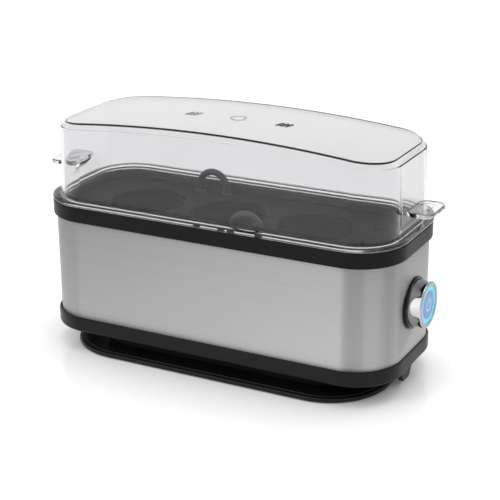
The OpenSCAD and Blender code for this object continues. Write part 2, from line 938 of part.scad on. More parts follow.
// Space under a crowned top, its side walls inset from the lid's outside
module crowned(inset, z0) {
    h = lid_top - z0;
    intersection() {
        translate([0, 0, z0])
            leaning_block(lid_a - inset - lean * (z0 - lid_wall_z),
                          lid_b - inset - lean * (z0 - lid_wall_z),
                          lid_r - inset - lean * (z0 - lid_wall_z), lean * h, h);
        translate([0, 0, lid_top - crown_r])
            rotate([90, 0, 0])
                cylinder(h = 4 * lid_b, r = crown_r - inset, center = true, $fn = 720);
    }
}

// Steam slots of one vent: three short slots side by side
module vent_slots()
    for (i = [-1 : 1])
        translate([i * slot_pitch, 0, 0])
            rotate([0, 0, slot_turn])
                linear_extrude(12, center = true) {
                    square([slot_w, slot_l - slot_w], center = true);
                    for (side = [-1, 1])
                        translate([0, side * (slot_l - slot_w) / 2])
                            circle(slot_w / 2, $fn = 24);
                }

module lid_tab()
    translate([0, 0, rim_top + tab_h - tab_t])
        linear_extrude(tab_t) {
            translate([lid_a - lid_t, -tab_half_w])
                square([tab_l + lid_t - tab_r, 2 * tab_half_w]);
            translate([lid_a, tab_r - tab_half_w])
                square([tab_l, 2 * (tab_half_w - tab_r)]);
            for (side = [-1, 1])
                translate([lid_a + tab_l - tab_r, side * (tab_half_w - tab_r)])
                    circle(tab_r);
        }

module lid()
    color("#dfe3e4", 0.3)
        difference() {
            union() {
                block(ra, rb, rr, rim_top, lid_wall_z);
                crowned(0, lid_wall_z - eps);
                block(lid_a - skirt_in, lid_b - skirt_in, lid_r - skirt_in, rim_top - skirt_d, rim_top + 1);
                lid_tab();
                mirror([1, 0, 0])
                    lid_tab();
            }
            crowned(lid_t, lid_wall_z - 0.5);
            block(lid_a - lid_t, lid_b - lid_t, lid_r - lid_t, rim_top - skirt_d - 1, lid_wall_z - 0.4);
            for (side = [-1, 1])
                translate([side * vent_x, 0, lid_top - 2])
                    vent_slots();
        }

foot_plate();
rubber_feet();
foot_screws();
spool_drum();
cord_gland();
cord_clips();
base_shell();
tie_posts();
tie_screws();
sleeve();
top_rim();
pan_seal();
water_pan();
pan_studs();
heating_element();
element_clamps();
clamp_nuts();
heat_shield();
shield_nuts();
thermostat();
thermal_fuse();
terminal_block();
board_bracket();
bracket_screws();
control_board();
power_relay();
buzzer();
leds();
push_switch();
mains_wires();
heater_wires();
sensor_wires();
button_bezel();
button_cap();
button_stem();
light_ring();
button_lens();
power_symbol();
tray_plate();
tray_handles();
lid();
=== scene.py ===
"""Looks of a three-egg cooker: a steel-sleeved base, a clear crowned lid and a lit button."""

import json
import math

import bmesh
import bpy
from mathutils import Euler, Matrix, Vector


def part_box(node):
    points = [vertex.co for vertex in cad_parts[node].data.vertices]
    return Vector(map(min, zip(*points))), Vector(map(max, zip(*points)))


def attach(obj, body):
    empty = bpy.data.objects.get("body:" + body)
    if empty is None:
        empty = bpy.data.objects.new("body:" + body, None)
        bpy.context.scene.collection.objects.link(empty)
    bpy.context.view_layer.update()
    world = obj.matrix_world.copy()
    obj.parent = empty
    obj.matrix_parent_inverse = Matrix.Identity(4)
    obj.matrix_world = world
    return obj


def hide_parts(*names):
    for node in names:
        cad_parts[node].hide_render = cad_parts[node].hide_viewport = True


bl_info = {
    "name": "Egg Cooker Looks",
    "version": (1, 0, 0),
    "blender": (4, 5, 0),
    "location": "View3D > Sidebar > Egg Cooker",
    "description": "Builds the visible pieces and finishes of an egg cooker around its frame",
    "category": "Object",
}

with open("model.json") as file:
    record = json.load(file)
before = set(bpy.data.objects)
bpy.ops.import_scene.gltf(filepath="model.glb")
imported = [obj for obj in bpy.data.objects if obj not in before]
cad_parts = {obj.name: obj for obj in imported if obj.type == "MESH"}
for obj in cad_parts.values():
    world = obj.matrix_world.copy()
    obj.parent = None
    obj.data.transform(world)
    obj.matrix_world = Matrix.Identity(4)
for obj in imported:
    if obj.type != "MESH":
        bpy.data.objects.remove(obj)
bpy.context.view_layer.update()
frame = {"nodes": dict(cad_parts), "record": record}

MM = 0.001
CORNER_STEPS = 32
FULL_TURN = 2 * math.pi
SHARP_ANGLE = math.radians(38)
SLACK = 1e-7
MERGE_DISTANCE = 1e-6

SCREW_HOLE = 1.8 * MM
SCREW_HEAD = 3.3 * MM
SCREW_POST = 4.2 * MM
FOOT_RADIUS = 6 * MM


# ---- sizes and colours a user may change ----


def length_property(name, description, millimetres):
    """A length with its default in millimetres."""
    return bpy.props.FloatProperty(
        name=name, description=description, default=millimetres * MM, unit="LENGTH")


def colour_property(name, description, default):
    return bpy.props.FloatVectorProperty(
        name=name, description=description, default=default, subtype="COLOR", size=3)


class CookerSizes(bpy.types.PropertyGroup):
    """Sizes that the frame's boxes don't give."""

    rim_radius: length_property("Rim corner radius", "Corner radius of the top rim, outside", 26.2)
    rim_height: length_property("Rim height", "Height of the rim's outer face", 8.5)
    rim_land: length_property("Rim land", "Width of the rim's flat top", 4.2)
    slope_height: length_property("Slope height", "Height of the rim's sloping inner face", 5)
    slope_inset: length_property("Slope inset", "How far the rim's inner face slopes in", 2)
    edge_round: length_property("Edge rounding", "Radius on the edges of the black mouldings", 0.8)
    sleeve_radius: length_property(
        "Sleeve corner radius", "Corner radius of the steel sleeve, outside", 24.5)
    sheet: length_property("Sheet thickness", "Thickness of the sleeve's sheet", 0.6)
    plate_radius: length_property(
        "Foot plate corner radius", "Corner radius of the foot plate", 33.3)
    drum_radius: length_property("Drum corner radius", "Corner radius of the cord drum", 25)
    floor_thickness: length_property(
        "Base floor thickness", "Thickness of the base shell's floor", 2)
    pan_radius: length_property("Pan corner radius", "Inside corner radius of the water pan", 26)
    pan_sheet: length_property("Pan sheet", "Thickness of the pan's sheet", 1.4)
    egg_hole: length_property("Egg hole radius", "Radius of the holes that hold the eggs", 20.5)
    egg_pitch: length_property("Egg pitch", "Distance from one egg to the next", 50.4)
    egg_shift: length_property("Egg shift", "How far the eggs sit away from the button end", 5.3)
    lid_wall: length_property("Lid wall", "Wall thickness of the lid", 1.6)
    lid_inset: length_property(
        "Lid inset", "How far the lid's wall stands in from the rim's outer face", 4.6)
    lid_lean: length_property("Lid lean", "How far the lid's wall leans in from foot to top", 1.4)
    crown: length_property("Crown", "How much lower the lid's ends are than its middle", 6.2)
    lid_stretch: length_property(
        "Lid stretch", "How much longer the lid's wall is towards the button end", 1.6)
    tab_drop: length_property("Tab height", "Height of the lid tabs' top above the rim", 14.5)


class CookerColours(bpy.types.PropertyGroup):
    """Main colours of the finishes."""

    black: colour_property(
        "Black plastic", "Colour of the moulded black parts", (0.0065, 0.0065, 0.007))
    steel: colour_property("Steel", "Colour of the brushed sleeve", (0.4, 0.4, 0.402))
    tray: colour_property("Tray", "Colour of the egg tray", (0.009, 0.0092, 0.0095))
    handle: colour_property("Handles", "Colour of the tray's handles", (0.03, 0.034, 0.037))
    light: colour_property(
        "Light ring", "Colour of the lit ring round the button", (0.1, 0.8, 0.95))
    lens: colour_property("Lens", "Colour of the lit disc in the button", (0.22, 0.28, 0.66))


# ---- shader arithmetic ----


class Value:
    """A shader socket that takes part in Python arithmetic."""

    def __init__(self, finish, socket):
        self.finish = finish
        self.socket = socket

    def _math(self, operation, first, second):
        return self.finish.node("ShaderNodeMath", {"operation": operation}, {0: first, 1: second})

    def __add__(self, other):
        return self._math("ADD", self, other)

    __radd__ = __add__

    def __sub__(self, other):
        return self._math("SUBTRACT", self, other)

    def __mul__(self, other):
        return self._math("MULTIPLY", self, other)

    __rmul__ = __mul__

    def __truediv__(self, other):
        return self._math("DIVIDE", self, other)


class Finish:
    """A material and the nodes that make it."""

    def __init__(self, name):
        self.material = bpy.data.materials.new(name)
        self.material.use_nodes = True
        self.tree = self.material.node_tree
        self.tree.nodes.clear()

    def node(self, kind, settings=None, inputs=None, output=0):
        """Adds any node: its settings first, then the values or links of its sockets."""
        made = self.tree.nodes.new(kind)
        for key, value in (settings or {}).items():
            if key == "stops":
                ramp = made.color_ramp.elements
                while len(ramp) < len(value):
                    ramp.new(1.0)
                for element, (place, colour) in zip(ramp, value):
                    element.position = place
                    element.color = (*colour, 1.0)
            else:
                setattr(made, key, value)
        for key, value in (inputs or {}).items():
            if isinstance(value, Value):
                self.tree.links.new(value.socket, made.inputs[key])
            else:
                made.inputs[key].default_value = value
        return Value(self, made.outputs[output]) if made.outputs else None

    def place(self, scale=(1.0, 1.0, 1.0), origin=(0.0, 0.0, 0.0), turn=(0.0, 0.0, 0.0)):
        """Object coordinates, centred on origin, turned and scaled."""
        here = self.node("ShaderNodeTexCoord", output="Object")
        about = self.node("ShaderNodeMapping", {"vector_type": "POINT"},
                          {"Vector": here, "Location": [-c for c in origin]})
        return self.node("ShaderNodeMapping", {"vector_type": "POINT"},
                         {"Vector": about, "Rotation": turn, "Scale": scale})

    def noise(self, vector, scale, detail=3.0, roughness=0.5):
        return self.node("ShaderNodeTexNoise", None, {
            "Vector": vector, "Scale": scale, "Detail": detail, "Roughness": roughness})

    def mix(self, first, second, share):
        """Blends two colours."""
        whole = [(*c, 1.0) if isinstance(c, (tuple, list)) else c for c in (first, second)]
        return self.node("ShaderNodeMix", {"data_type": "RGBA"},
                         {0: share, 6: whole[0], 7: whole[1]}, output=2)

    def clamp(self, value):
        return self.node("ShaderNodeClamp", None, {"Value": value})

    def coordinate(self, vector, axis):
        return self.node("ShaderNodeSeparateXYZ", None, {"Vector": vector}, output=axis)

    def bump(self, height, distance, strength=1.0):
        return self.node("ShaderNodeBump", None,
                         {"Height": height, "Distance": distance, "Strength": strength})

    def principled(self, sockets):
        return self.node("ShaderNodeBsdfPrincipled", None, sockets)

    def show(self, shader):
        self.node("ShaderNodeOutputMaterial", None, {"Surface": shader})
        return self.material

    def surface(self, sockets):
        """Shows one principled shader."""
        return self.show(self.principled(sockets))


def shade(colour, factor):
    """A colour made lighter or darker."""
    return tuple(min(1.0, channel * factor) for channel in colour)


def moulded(name, colour, roughness=0.36, grain=0.02 * MM, specular=0.22):
    """Moulded plastic: a fine spark-eroded grain, slightly uneven in gloss."""
    finish = Finish(name)
    here = finish.place()
    cloud = finish.noise(here, 38.0, 4.0)
    speck = finish.noise(here, 2600.0, 2.0)
    return finish.surface({
        "Base Color": finish.mix(shade(colour, 0.86), shade(colour, 1.16), cloud),
        "Roughness": roughness - 0.05 + 0.1 * cloud,
        "Specular IOR Level": specular,
        "Normal": finish.bump(speck, grain),
    })


def brushed_steel(colour):
    """Stainless sheet with lines round the body, and painted light: lighter to the button end and
    to the foot.
    """
    finish = Finish("brushed_stainless")
    long_lines = finish.noise(finish.place(scale=(6.0, 6.0, 2600.0)), 1.0, 3.0, 0.6)
    fine_lines = finish.noise(finish.place(scale=(30.0, 30.0, 9000.0)), 1.0, 2.0, 0.55)
    lines = 0.6 * long_lines + 0.4 * fine_lines
    here = finish.place()
    cloud = finish.noise(here, 9.0, 2.0)
    along = finish.coordinate(here, "X")
    up = finish.coordinate(here, "Z")
    middle = 0.046
    # Painted light: the base colour grows lighter towards the button end and towards the foot, on
    # top of the real brushing lines.
    painted_light_and_lines = 0.55 + 1.2 * along - 6.5 * (up - middle) + 0.42 * (lines - 0.5)
    return finish.surface({
        "Base Color": finish.mix(shade(colour, 0.6), shade(colour, 1.4), painted_light_and_lines),
        "Metallic": 1.0,
        "Roughness": 0.4 + 0.12 * lines + 0.03 * cloud,
        "Anisotropic": 0.95,
        "Anisotropic Rotation": 0.25,
        "Normal": finish.bump(lines, 0.012 * MM, 0.5),
    })


def polished_chrome(face):
    """Bright plating with the faintest orange peel, and a painted darker reflection on the flat end
    at the face's x.
    """
    finish = Finish("polished_chrome")
    here = finish.place(origin=(face, 0.0, 0.0))
    ripple = finish.noise(here, 420.0, 2.0)
    depth = finish.coordinate(here, "X")
    # Painted reflection: the flat end face is given a darker base colour than the sides.
    painted_dark_end = finish.clamp(1.0 + depth / (0.3 * MM))
    plating = finish.mix((0.5, 0.51, 0.52), (0.57, 0.575, 0.58), ripple)
    return finish.surface({
        "Base Color": finish.mix(plating, (0.3, 0.32, 0.335), painted_dark_end),
        "Metallic": 1.0,
        "Roughness": 0.05 + 0.04 * ripple,
        "Normal": finish.bump(ripple, 0.01 * MM, 0.4),
    })


def clear_plastic():
    """Clear polished plastic that lets the lamps through to what it covers."""
    finish = Finish("clear_lid_plastic")
    haze = finish.noise(finish.place(), 24.0, 3.0)
    glass = finish.principled({
        "Base Color": finish.mix((0.768, 0.764, 0.774), (0.793, 0.79, 0.799), haze),
        "Roughness": 0.015 + 0.02 * haze,
        "IOR": 1.4,
        "Specular IOR Level": 0.15,
        "Transmission Weight": 1.0,
    })
    open_way = finish.node("ShaderNodeBsdfTransparent", None, {"Color": (0.92, 0.925, 0.93, 1.0)})
    lamp_ray = finish.node("ShaderNodeLightPath", output="Is Shadow Ray")
    return finish.show(
        finish.node("ShaderNodeMixShader", None, {0: lamp_ray, 1: glass, 2: open_way}))


def coated_metal(colour):
    """Dark non-stick coating with pale flecks."""
    finish = Finish("non_stick_coating")
    here = finish.place()
    fleck = finish.node("ShaderNodeTexVoronoi", {"feature": "F1"}, {"Vector": here, "Scale": 900.0})
    stops = [(0.0, (1, 1, 1)), (0.12, (1, 1, 1)), (0.2, (0, 0, 0))]
    dots = finish.node("ShaderNodeValToRGB", {"stops": stops}, {"Fac": fleck})
    cloud = finish.noise(here, 60.0, 4.0)
    return finish.surface({
        "Base Color": finish.mix(colour, shade(colour, 3.2), dots),
        "Roughness": 0.3 + 0.12 * cloud,
        "Coat Weight": 0.2,
        "Normal": finish.bump(cloud, 0.03 * MM, 0.5),
    })


def sheet_metal(name, colour, roughness):
    """Plain or heat-marked metal of the inner parts."""
    finish = Finish(name)
    here = finish.place()
    stain = finish.noise(here, 70.0, 5.0, 0.6)
    scratch = finish.noise(finish.place(scale=(40.0, 900.0, 900.0)), 1.0, 2.0)
    return finish.surface({
        "Base Color": finish.mix(shade(colour, 0.7), shade(colour, 1.15), stain),
        "Metallic": 1.0,
        "Roughness": roughness + 0.12 * stain,
        "Normal": finish.bump(scratch, 0.01 * MM, 0.4),
    })


def rubbery(name, colour):
    """Matt rubber or silicone."""
    finish = Finish(name)
    here = finish.place()
    dust = finish.noise(here, 300.0, 4.0)
    return finish.surface({
        "Base Color": finish.mix(colour, shade(colour, 1.8), dust),
        "Roughness": 0.66 + 0.2 * dust,
        "Specular IOR Level": 0.3,
        "Normal": finish.bump(finish.noise(here, 2200.0, 2.0), 0.03 * MM),
    })


def circuit_board():
    """Green solder mask with darker tracks."""
    finish = Finish("solder_mask")
    tracks = finish.node("ShaderNodeTexBrick", {"offset": 0.5}, {
        "Vector": finish.place(turn=(0.0, math.pi / 2, 0.0)), "Scale": 160.0, "Mortar Size": 0.06,
        "Color1": (0.03, 0.16, 0.06, 1), "Color2": (0.03, 0.19, 0.07, 1),
        "Mortar": (0.05, 0.27, 0.1, 1)})
    return finish.surface({
        "Base Color": tracks,
        "Roughness": 0.3 + 0.1 * finish.noise(finish.place(), 200.0),
        "Coat Weight": 0.3,
    })


def lit_plastic(name, inner, outer, axis, reach, strength):
    """Translucent plastic lit from behind, from one colour at its middle to another at its edge."""
    finish = Finish(name)
    here = finish.place(origin=axis, scale=(0.0, 1.0, 1.0))
    away = finish.node("ShaderNodeVectorMath", {"operation": "LENGTH"}, {0: here}, output="Value")
    share = finish.clamp((away - reach[0]) / (reach[1] - reach[0]))
    glow = finish.mix(inner, outer, share)
    return finish.surface({
        "Base Color": finish.mix(shade(inner, 0.12), shade(outer, 0.12), share),
        "Roughness": 0.25 + 0.05 * finish.noise(finish.place(), 300.0),
        "Specular IOR Level": 0.25,
        "Emission Color": glow,
        "Emission Strength": strength,
    })


# ---- mesh work ----


def arc(inset, height, radius, start, end, steps=6):
    """Points round a corner centred at (inset, height); 0 degrees points inwards."""
    turn = [math.radians(start + (end - start) * k / steps) for k in range(steps + 1)]
    return [(inset + radius * math.cos(a), height + radius * math.sin(a)) for a in turn]


class Outline:
    """Rounded rectangle seen from above."""

    def __init__(self, half_length, half_width, radius, centre=0.0):
        self.a = half_length
        self.b = half_width
        self.r = radius
        self.centre = centre

    def move(self, co, inset, height):
        """Where a point of the outline goes when the outline is set in and lifted."""
        x = co.x - self.centre
        core_x = self.a - self.r
        core_y = self.b - self.r
        side_x = math.copysign(core_x, x)
        side_y = math.copysign(core_y, co.y)
        if abs(x) < core_x - SLACK:
            spot = Vector((x, math.copysign(self.b - inset, co.y)))
        elif abs(co.y) < core_y - SLACK:
            spot = Vector((math.copysign(self.a - inset, x), co.y))
        else:
            way = Vector((x - side_x, co.y - side_y)).normalized()
            spot = Vector((side_x, side_y)) + way * (self.r - inset)
        level = height(spot.x) if callable(height) else height
        return Vector((spot.x + self.centre, spot.y, level))

    def loop(self, bm, inset, height):
        """A closed loop of edges: a rectangle with its corners rounded off by a bevel."""
        before = set(bm.faces)
        verts = bmesh.ops.create_grid(bm, x_segments=1, y_segments=1, size=1.0)["verts"]
        scale_and_move(bm, verts, (self.a, self.b, 1.0), (self.centre, 0.0, 0.0))
        bmesh.ops.bevel(bm, geom=verts, offset=self.r, offset_type="OFFSET", segments=CORNER_STEPS,
                        profile=0.5, affect="VERTICES", material=-1)
        face = next(f for f in bm.faces if f not in before)
        edges = list(face.edges)
        bmesh.ops.delete(bm, geom=[face], context="FACES_ONLY")
        for vert in {v for e in edges for v in e.verts}:
            vert.co = self.move(vert.co, inset, height)
        return edges


def carry(bm, edges, outline, path):
    """Carries a loop of edges through (inset, height) steps, leaving walls behind it."""
    for inset, height in path:
        made = bmesh.ops.extrude_edge_only(bm, edges=edges)["geom"]
        verts = {v for v in made if isinstance(v, bmesh.types.BMVert)}
        for vert in verts:
            vert.co = outline.move(vert.co, inset, height)
        edges = [e for e in made if isinstance(e, bmesh.types.BMEdge) and set(e.verts) <= verts]
    return edges


def close(bm, edges):
    """Fills a loop with one flat face."""
    return bmesh.ops.contextual_create(bm, geom=edges)["faces"]


def closed_sweep(bm, outline, path):
    """A ring whose section is the closed path of (inset, height) points; its ends merge later."""
    carry(bm, outline.loop(bm, *path[0]), outline, [*path[1:], path[0]])


def capped_sweep(bm, outline, path):
    """A solid whose wall follows the path, closed flat at both ends."""
    first = outline.loop(bm, *path[0])
    last = carry(bm, first, outline, path[1:])
    close(bm, first)
    close(bm, last)


def lathe(bm, profile, centre, axis="Z", steps=96):
    """A solid of revolution from (radius, place along the axis) points, closed at both ends."""
    turned = {"Z": Matrix.Identity(3), "X": Euler((0, math.pi / 2, 0)).to_matrix(),
              "Y": Euler((-math.pi / 2, 0, 0)).to_matrix()}[axis]
    start = bm.verts.new((profile[0][0], 0.0, profile[0][1]))
    verts, edges = [start], []
    for radius, place in profile[1:]:
        verts.append(bm.verts.new((radius, 0.0, place)))
        edges.append(bm.edges.new(verts[-2:]))
    if profile[0][0] > SLACK or profile[-1][0] > SLACK:
        edges.append(bm.edges.new((verts[-1], verts[0])))
    bmesh.ops.spin(bm, geom=verts + edges, cent=(0, 0, 0), axis=(0, 0, 1), angle=FULL_TURN,
                   steps=steps, use_merge=True)
    bmesh.ops.remove_doubles(bm, verts=bm.verts[:], dist=SLACK)
    made = [v for v in bm.verts if not v.tag]
    bmesh.ops.rotate(bm, verts=made, cent=(0, 0, 0), matrix=turned)
    bmesh.ops.translate(bm, verts=made, vec=centre)
    for vert in made:
        vert.tag = True


def rounded_section(corners, radii, steps=4):
    """A polygon of (radius, height) points with its corners rounded, for a lathe or a sweep."""
    points = []
    count = len(corners)
    for k, (corner, radius) in enumerate(zip(corners, radii)):
        here = Vector(corner)
        if radius <= 0:
            points.append(tuple(here))
            continue
        back = (Vector(corners[k - 1]) - here).normalized()
        ahead = (Vector(corners[(k + 1) % count]) - here).normalized()
        half = back.angle(ahead) / 2
        middle = here + (back + ahead).normalized() * radius / math.sin(half)
        first = here + back * radius / math.tan(half) - middle
        last = here + ahead * radius / math.tan(half) - middle
        sweep = first.angle(last)
        for i in range(steps + 1):
            share = i / steps
            way = first * math.sin((1 - share) * sweep) + last * math.sin(share * sweep)
            points.append(tuple(middle + way / math.sin(sweep)))
    return points


def put_in_order(sequence, place):
    """Numbers a bmesh's elements by place, because operators leave them in no fixed order."""
    ranks = {item: rank for rank, item in enumerate(sorted(sequence, key=place))}
    sequence.sort(key=ranks.get)
    sequence.index_update()


def piece(bm, name, material, smooth=True):
    """Turns a bmesh into a finished object at the origin."""
    bmesh.ops.remove_doubles(bm, verts=bm.verts[:], dist=MERGE_DISTANCE)
    bmesh.ops.recalc_face_normals(bm, faces=bm.faces[:])
    put_in_order(bm.verts, lambda vert: tuple(vert.co))
    for sequence in (bm.edges, bm.faces):
        put_in_order(sequence, lambda item: sorted(vert.index for vert in item.verts))
    mesh = bpy.data.meshes.new(name)
    bm.to_mesh(mesh)
    bm.free()
    made = bpy.data.objects.new(name, mesh)
    bpy.context.scene.collection.objects.link(made)
    mesh.materials.append(material)
    if smooth:
        soften(made)
    return made


def soften(made):
    """Smooth shading that keeps flats flat and hard edges hard."""
    mesh = made.data
    mesh.polygons.foreach_set("use_smooth", [True] * len(mesh.polygons))
    mesh.set_sharp_from_angle(angle=SHARP_ANGLE)
    if "even_normals" not in made.modifiers:
        weighted = made.modifiers.new("even_normals", "WEIGHTED_NORMAL")
        weighted.keep_sharp = True
        weighted.weight = 90


def carve(made, tool, operation="DIFFERENCE"):
    """Cuts a tool, a bmesh or an object, out of a piece or joins it on, and uses it up."""
    if isinstance(tool, bmesh.types.BMesh):
        tool = piece(tool, "tool", made.data.materials[0], smooth=False)
    made.modifiers.clear()
    change = made.modifiers.new("change", "BOOLEAN")
    change.operation = operation
    change.solver = "EXACT"
    change.object = tool
    bpy.context.view_layer.update()
    graph = bpy.context.evaluated_depsgraph_get()
    changed = bpy.data.meshes.new_from_object(made.evaluated_get(graph))
    made.modifiers.clear()
    old = made.data
    made.data = changed
    bpy.data.meshes.remove(old)
    bpy.data.objects.remove(tool)
    changed.name = made.name
    soften(made)


def mirrored(x, y):
    """The four corners at plus and minus x and y."""
    return [(i * x, j * y) for i in (-1, 1) for j in (-1, 1)]


def rod(bm, radius, length, place, segments=48):
    """A round bar, closed at both ends, along the place's own Z."""
    bmesh.ops.create_cone(bm, cap_ends=True, segments=segments, radius1=radius, radius2=radius,
                          depth=length, matrix=place)


def posts(spots, radius, low, high, segments=48):
    """Upright round posts, as one tool."""
    bm = bmesh.new()
    for x, y in spots:
        rod(bm, radius, high - low, Matrix.Translation((x, y, (low + high) / 2)), segments)
    return bm


def scale_and_move(bm, verts, scale, move):
    bmesh.ops.scale(bm, verts=verts, vec=scale)
    bmesh.ops.translate(bm, verts=verts, vec=move)


def screw_spots(node):
    """Where a node's four screws stand."""
    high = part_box(node)[1]
    return mirrored(high.x - 3 * MM, high.y - 3 * MM)


def fit(made, body, slot, *nodes):
    """Sets a piece on its body and hides the nodes it stands for; the slot argument is not used."""
    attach(made, body)
    if nodes:
        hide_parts(*nodes)
    return made


def sizes():
    return bpy.context.scene.cooker_sizes


def colours():
    return bpy.context.scene.cooker_colours


def half(node):
    """Half-length and half-width of a node's box."""
    low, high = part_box(node)
    return (high.x - low.x) / 2, (high.y - low.y) / 2


def rim_outline():
    return Outline(*half("top_rim"), sizes().rim_radius)


def button_axis():
    low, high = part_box("button_bezel")
    return Vector((0.0, (low.y + high.y) / 2, (low.z + high.z) / 2))


# ---- the pieces ----


class EGGCOOKER_OT_underside(bpy.types.Operator):
    """Builds the foot plate, the cord drum with its gland, the cord clips and the feet"""

    bl_idname = "eggcooker.underside"
    bl_label = "Underside"
    bl_options = {"REGISTER", "UNDO"}

    def execute(self, context):
        black = moulded("moulded_black", colours().black)
        # Painted shade: the cord drum's black is made half as light as the other mouldings because
        # it sits recessed under the band.
        painted_shade_black = moulded("moulded_black_painted_shade", shade(colours().black, 0.5), 0.55)
        rubber = rubbery("black_rubber", (0.018, 0.018, 0.018))
        self.plate(black)
        self.drum(painted_shade_black)
        self.gland(rubber)
        self.clips(black)
        self.feet(rubber)
        return {"FINISHED"}

    def plate(self, black):
        low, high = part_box("foot_plate")
        outline = Outline(*half("foot_plate"), sizes().plate_radius)
        top_round = 0.7 * MM
        bead = 0.35 * MM
        path = [
            (0.5 * MM, low.z), *arc(0.4 * MM, low.z + 0.4 * MM, 0.4 * MM, 270, 180, 3),
            *arc(top_round, high.z - top_round, top_round, 180, 90),
            (2.2 * MM, high.z), (2.4 * MM, high.z - bead), (3.0 * MM, high.z - bead),
            (3.2 * MM, high.z),
        ]
        bm = bmesh.new()
        capped_sweep(bm, outline, path)
        made = piece(bm, "foot_plate_cover", black)
        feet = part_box("rubber_feet")[1]
        pads = mirrored(feet.x - FOOT_RADIUS, feet.y - FOOT_RADIUS)
        screws = screw_spots("foot_screws")
        under = low.z - 2 * MM
        pocket, head_seat = low.z + 1.4 * MM, low.z + 1.2 * MM
        carve(made, posts(pads, FOOT_RADIUS + 0.1 * MM, under, pocket, 64))
        carve(made, posts(screws, SCREW_HEAD, under, head_seat))
        carve(made, posts(screws, SCREW_HOLE, under, high.z + 2 * MM))
        fit(made, "base", "black_plastic", "foot_plate")

    def drum(self, painted_shade_black):
        low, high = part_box("spool_drum")
        outline = Outline(*half("spool_drum"), sizes().drum_radius)
        wall = 2.2 * MM
        flare = 1.2 * MM
        path = [(0.0, low.z), (0.0, high.z - flare), *arc(-flare, high.z - flare, flare, 0, 90, 4),
                (wall, high.z), (wall, low.z)]
        bm = bmesh.new()
        closed_sweep(bm, outline, path)
        made = piece(bm, "cord_drum", painted_shade_black)
        screws = screw_spots("foot_screws")
        carve(made, posts(screws, SCREW_POST, low.z, high.z), "UNION")
        carve(made, posts(screws, SCREW_HOLE, low.z - 1 * MM, high.z + 1 * MM))
        gland_low, gland_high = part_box("cord_gland")
        middle = (gland_low + gland_high) / 2
        place = Matrix.Translation((middle.x, high.y, middle.z))
        entry_radius, depth = 3.95 * MM, 10 * MM
        entry = bmesh.new()
        rod(entry, entry_radius, depth, place @ Matrix.Rotation(math.pi / 2, 4, "X"))
        carve(made, entry)
        fit(made, "base", "black_plastic", "spool_drum")

    def gland(self, rubber):
        low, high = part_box("cord_gland")
        centre = (low + high) / 2
        length = high.y - low.y
        bore, sleeve, collar = 3.1 * MM, 3.9 * MM, 4.25 * MM
        section = rounded_section(
            [(bore, 0), (sleeve, 0), (sleeve, length - 1.2 * MM), (collar, length - 1.2 * MM),
             (collar, length), (bore, length)],
            [0.2 * MM, 0.3 * MM, 0, 0, 0.5 * MM, 0.3 * MM])
        bm = bmesh.new()
        lathe(bm, section, (centre.x, low.y, centre.z), "Y", 48)
        fit(piece(bm, "cord_gland_bush", rubber), "base", "rubber", "cord_gland")

    def clips(self, black):
        low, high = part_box("cord_clips")
        thick = 3 * MM
        root, foot, bend = high.y, 4 * MM, high.z - 3 * MM
        bm = bmesh.new()
        for side in (-1, 1):
            outer = side * high.x
            corners = [(-root, high.z), (-root, bend), (-foot, low.z),
                       (foot, low.z), (root, bend), (root, high.z)]
            face = bm.faces.new([bm.verts.new((outer, y, z)) for y, z in corners])
            raised = bmesh.ops.extrude_face_region(bm, geom=[face])["geom"]
            moved = [v for v in raised if isinstance(v, bmesh.types.BMVert)]
            bmesh.ops.translate(bm, verts=moved, vec=(-side * thick, 0, 0))
        rounded = [e for e in bm.edges if min(v.co.z for v in e.verts) < high.z - 0.1 * MM]
        bmesh.ops.bevel(bm, geom=rounded, offset=0.6 * MM, offset_type="OFFSET", segments=3,
                        profile=0.5, affect="EDGES", material=-1)
        fit(piece(bm, "cord_clip_pair", black), "base", "black_plastic", "cord_clips")

    def feet(self, rubber):
        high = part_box("rubber_feet")[1]
        dimple, depth = 3 * MM, 0.3 * MM
        section = rounded_section(
            [(0, depth), (dimple, depth), (dimple + depth, 0), (FOOT_RADIUS, 0),
             (FOOT_RADIUS, high.z), (0, high.z)],
            [0, 0, 0.2 * MM, 0.5 * MM, 0.2 * MM, 0])
        bm = bmesh.new()
        for x, y in mirrored(high.x - FOOT_RADIUS, high.y - FOOT_RADIUS):
            lathe(bm, section, (x, y, 0.0), "Z", 64)
        fit(piece(bm, "foot_pads", rubber), "base", "rubber", "rubber_feet")


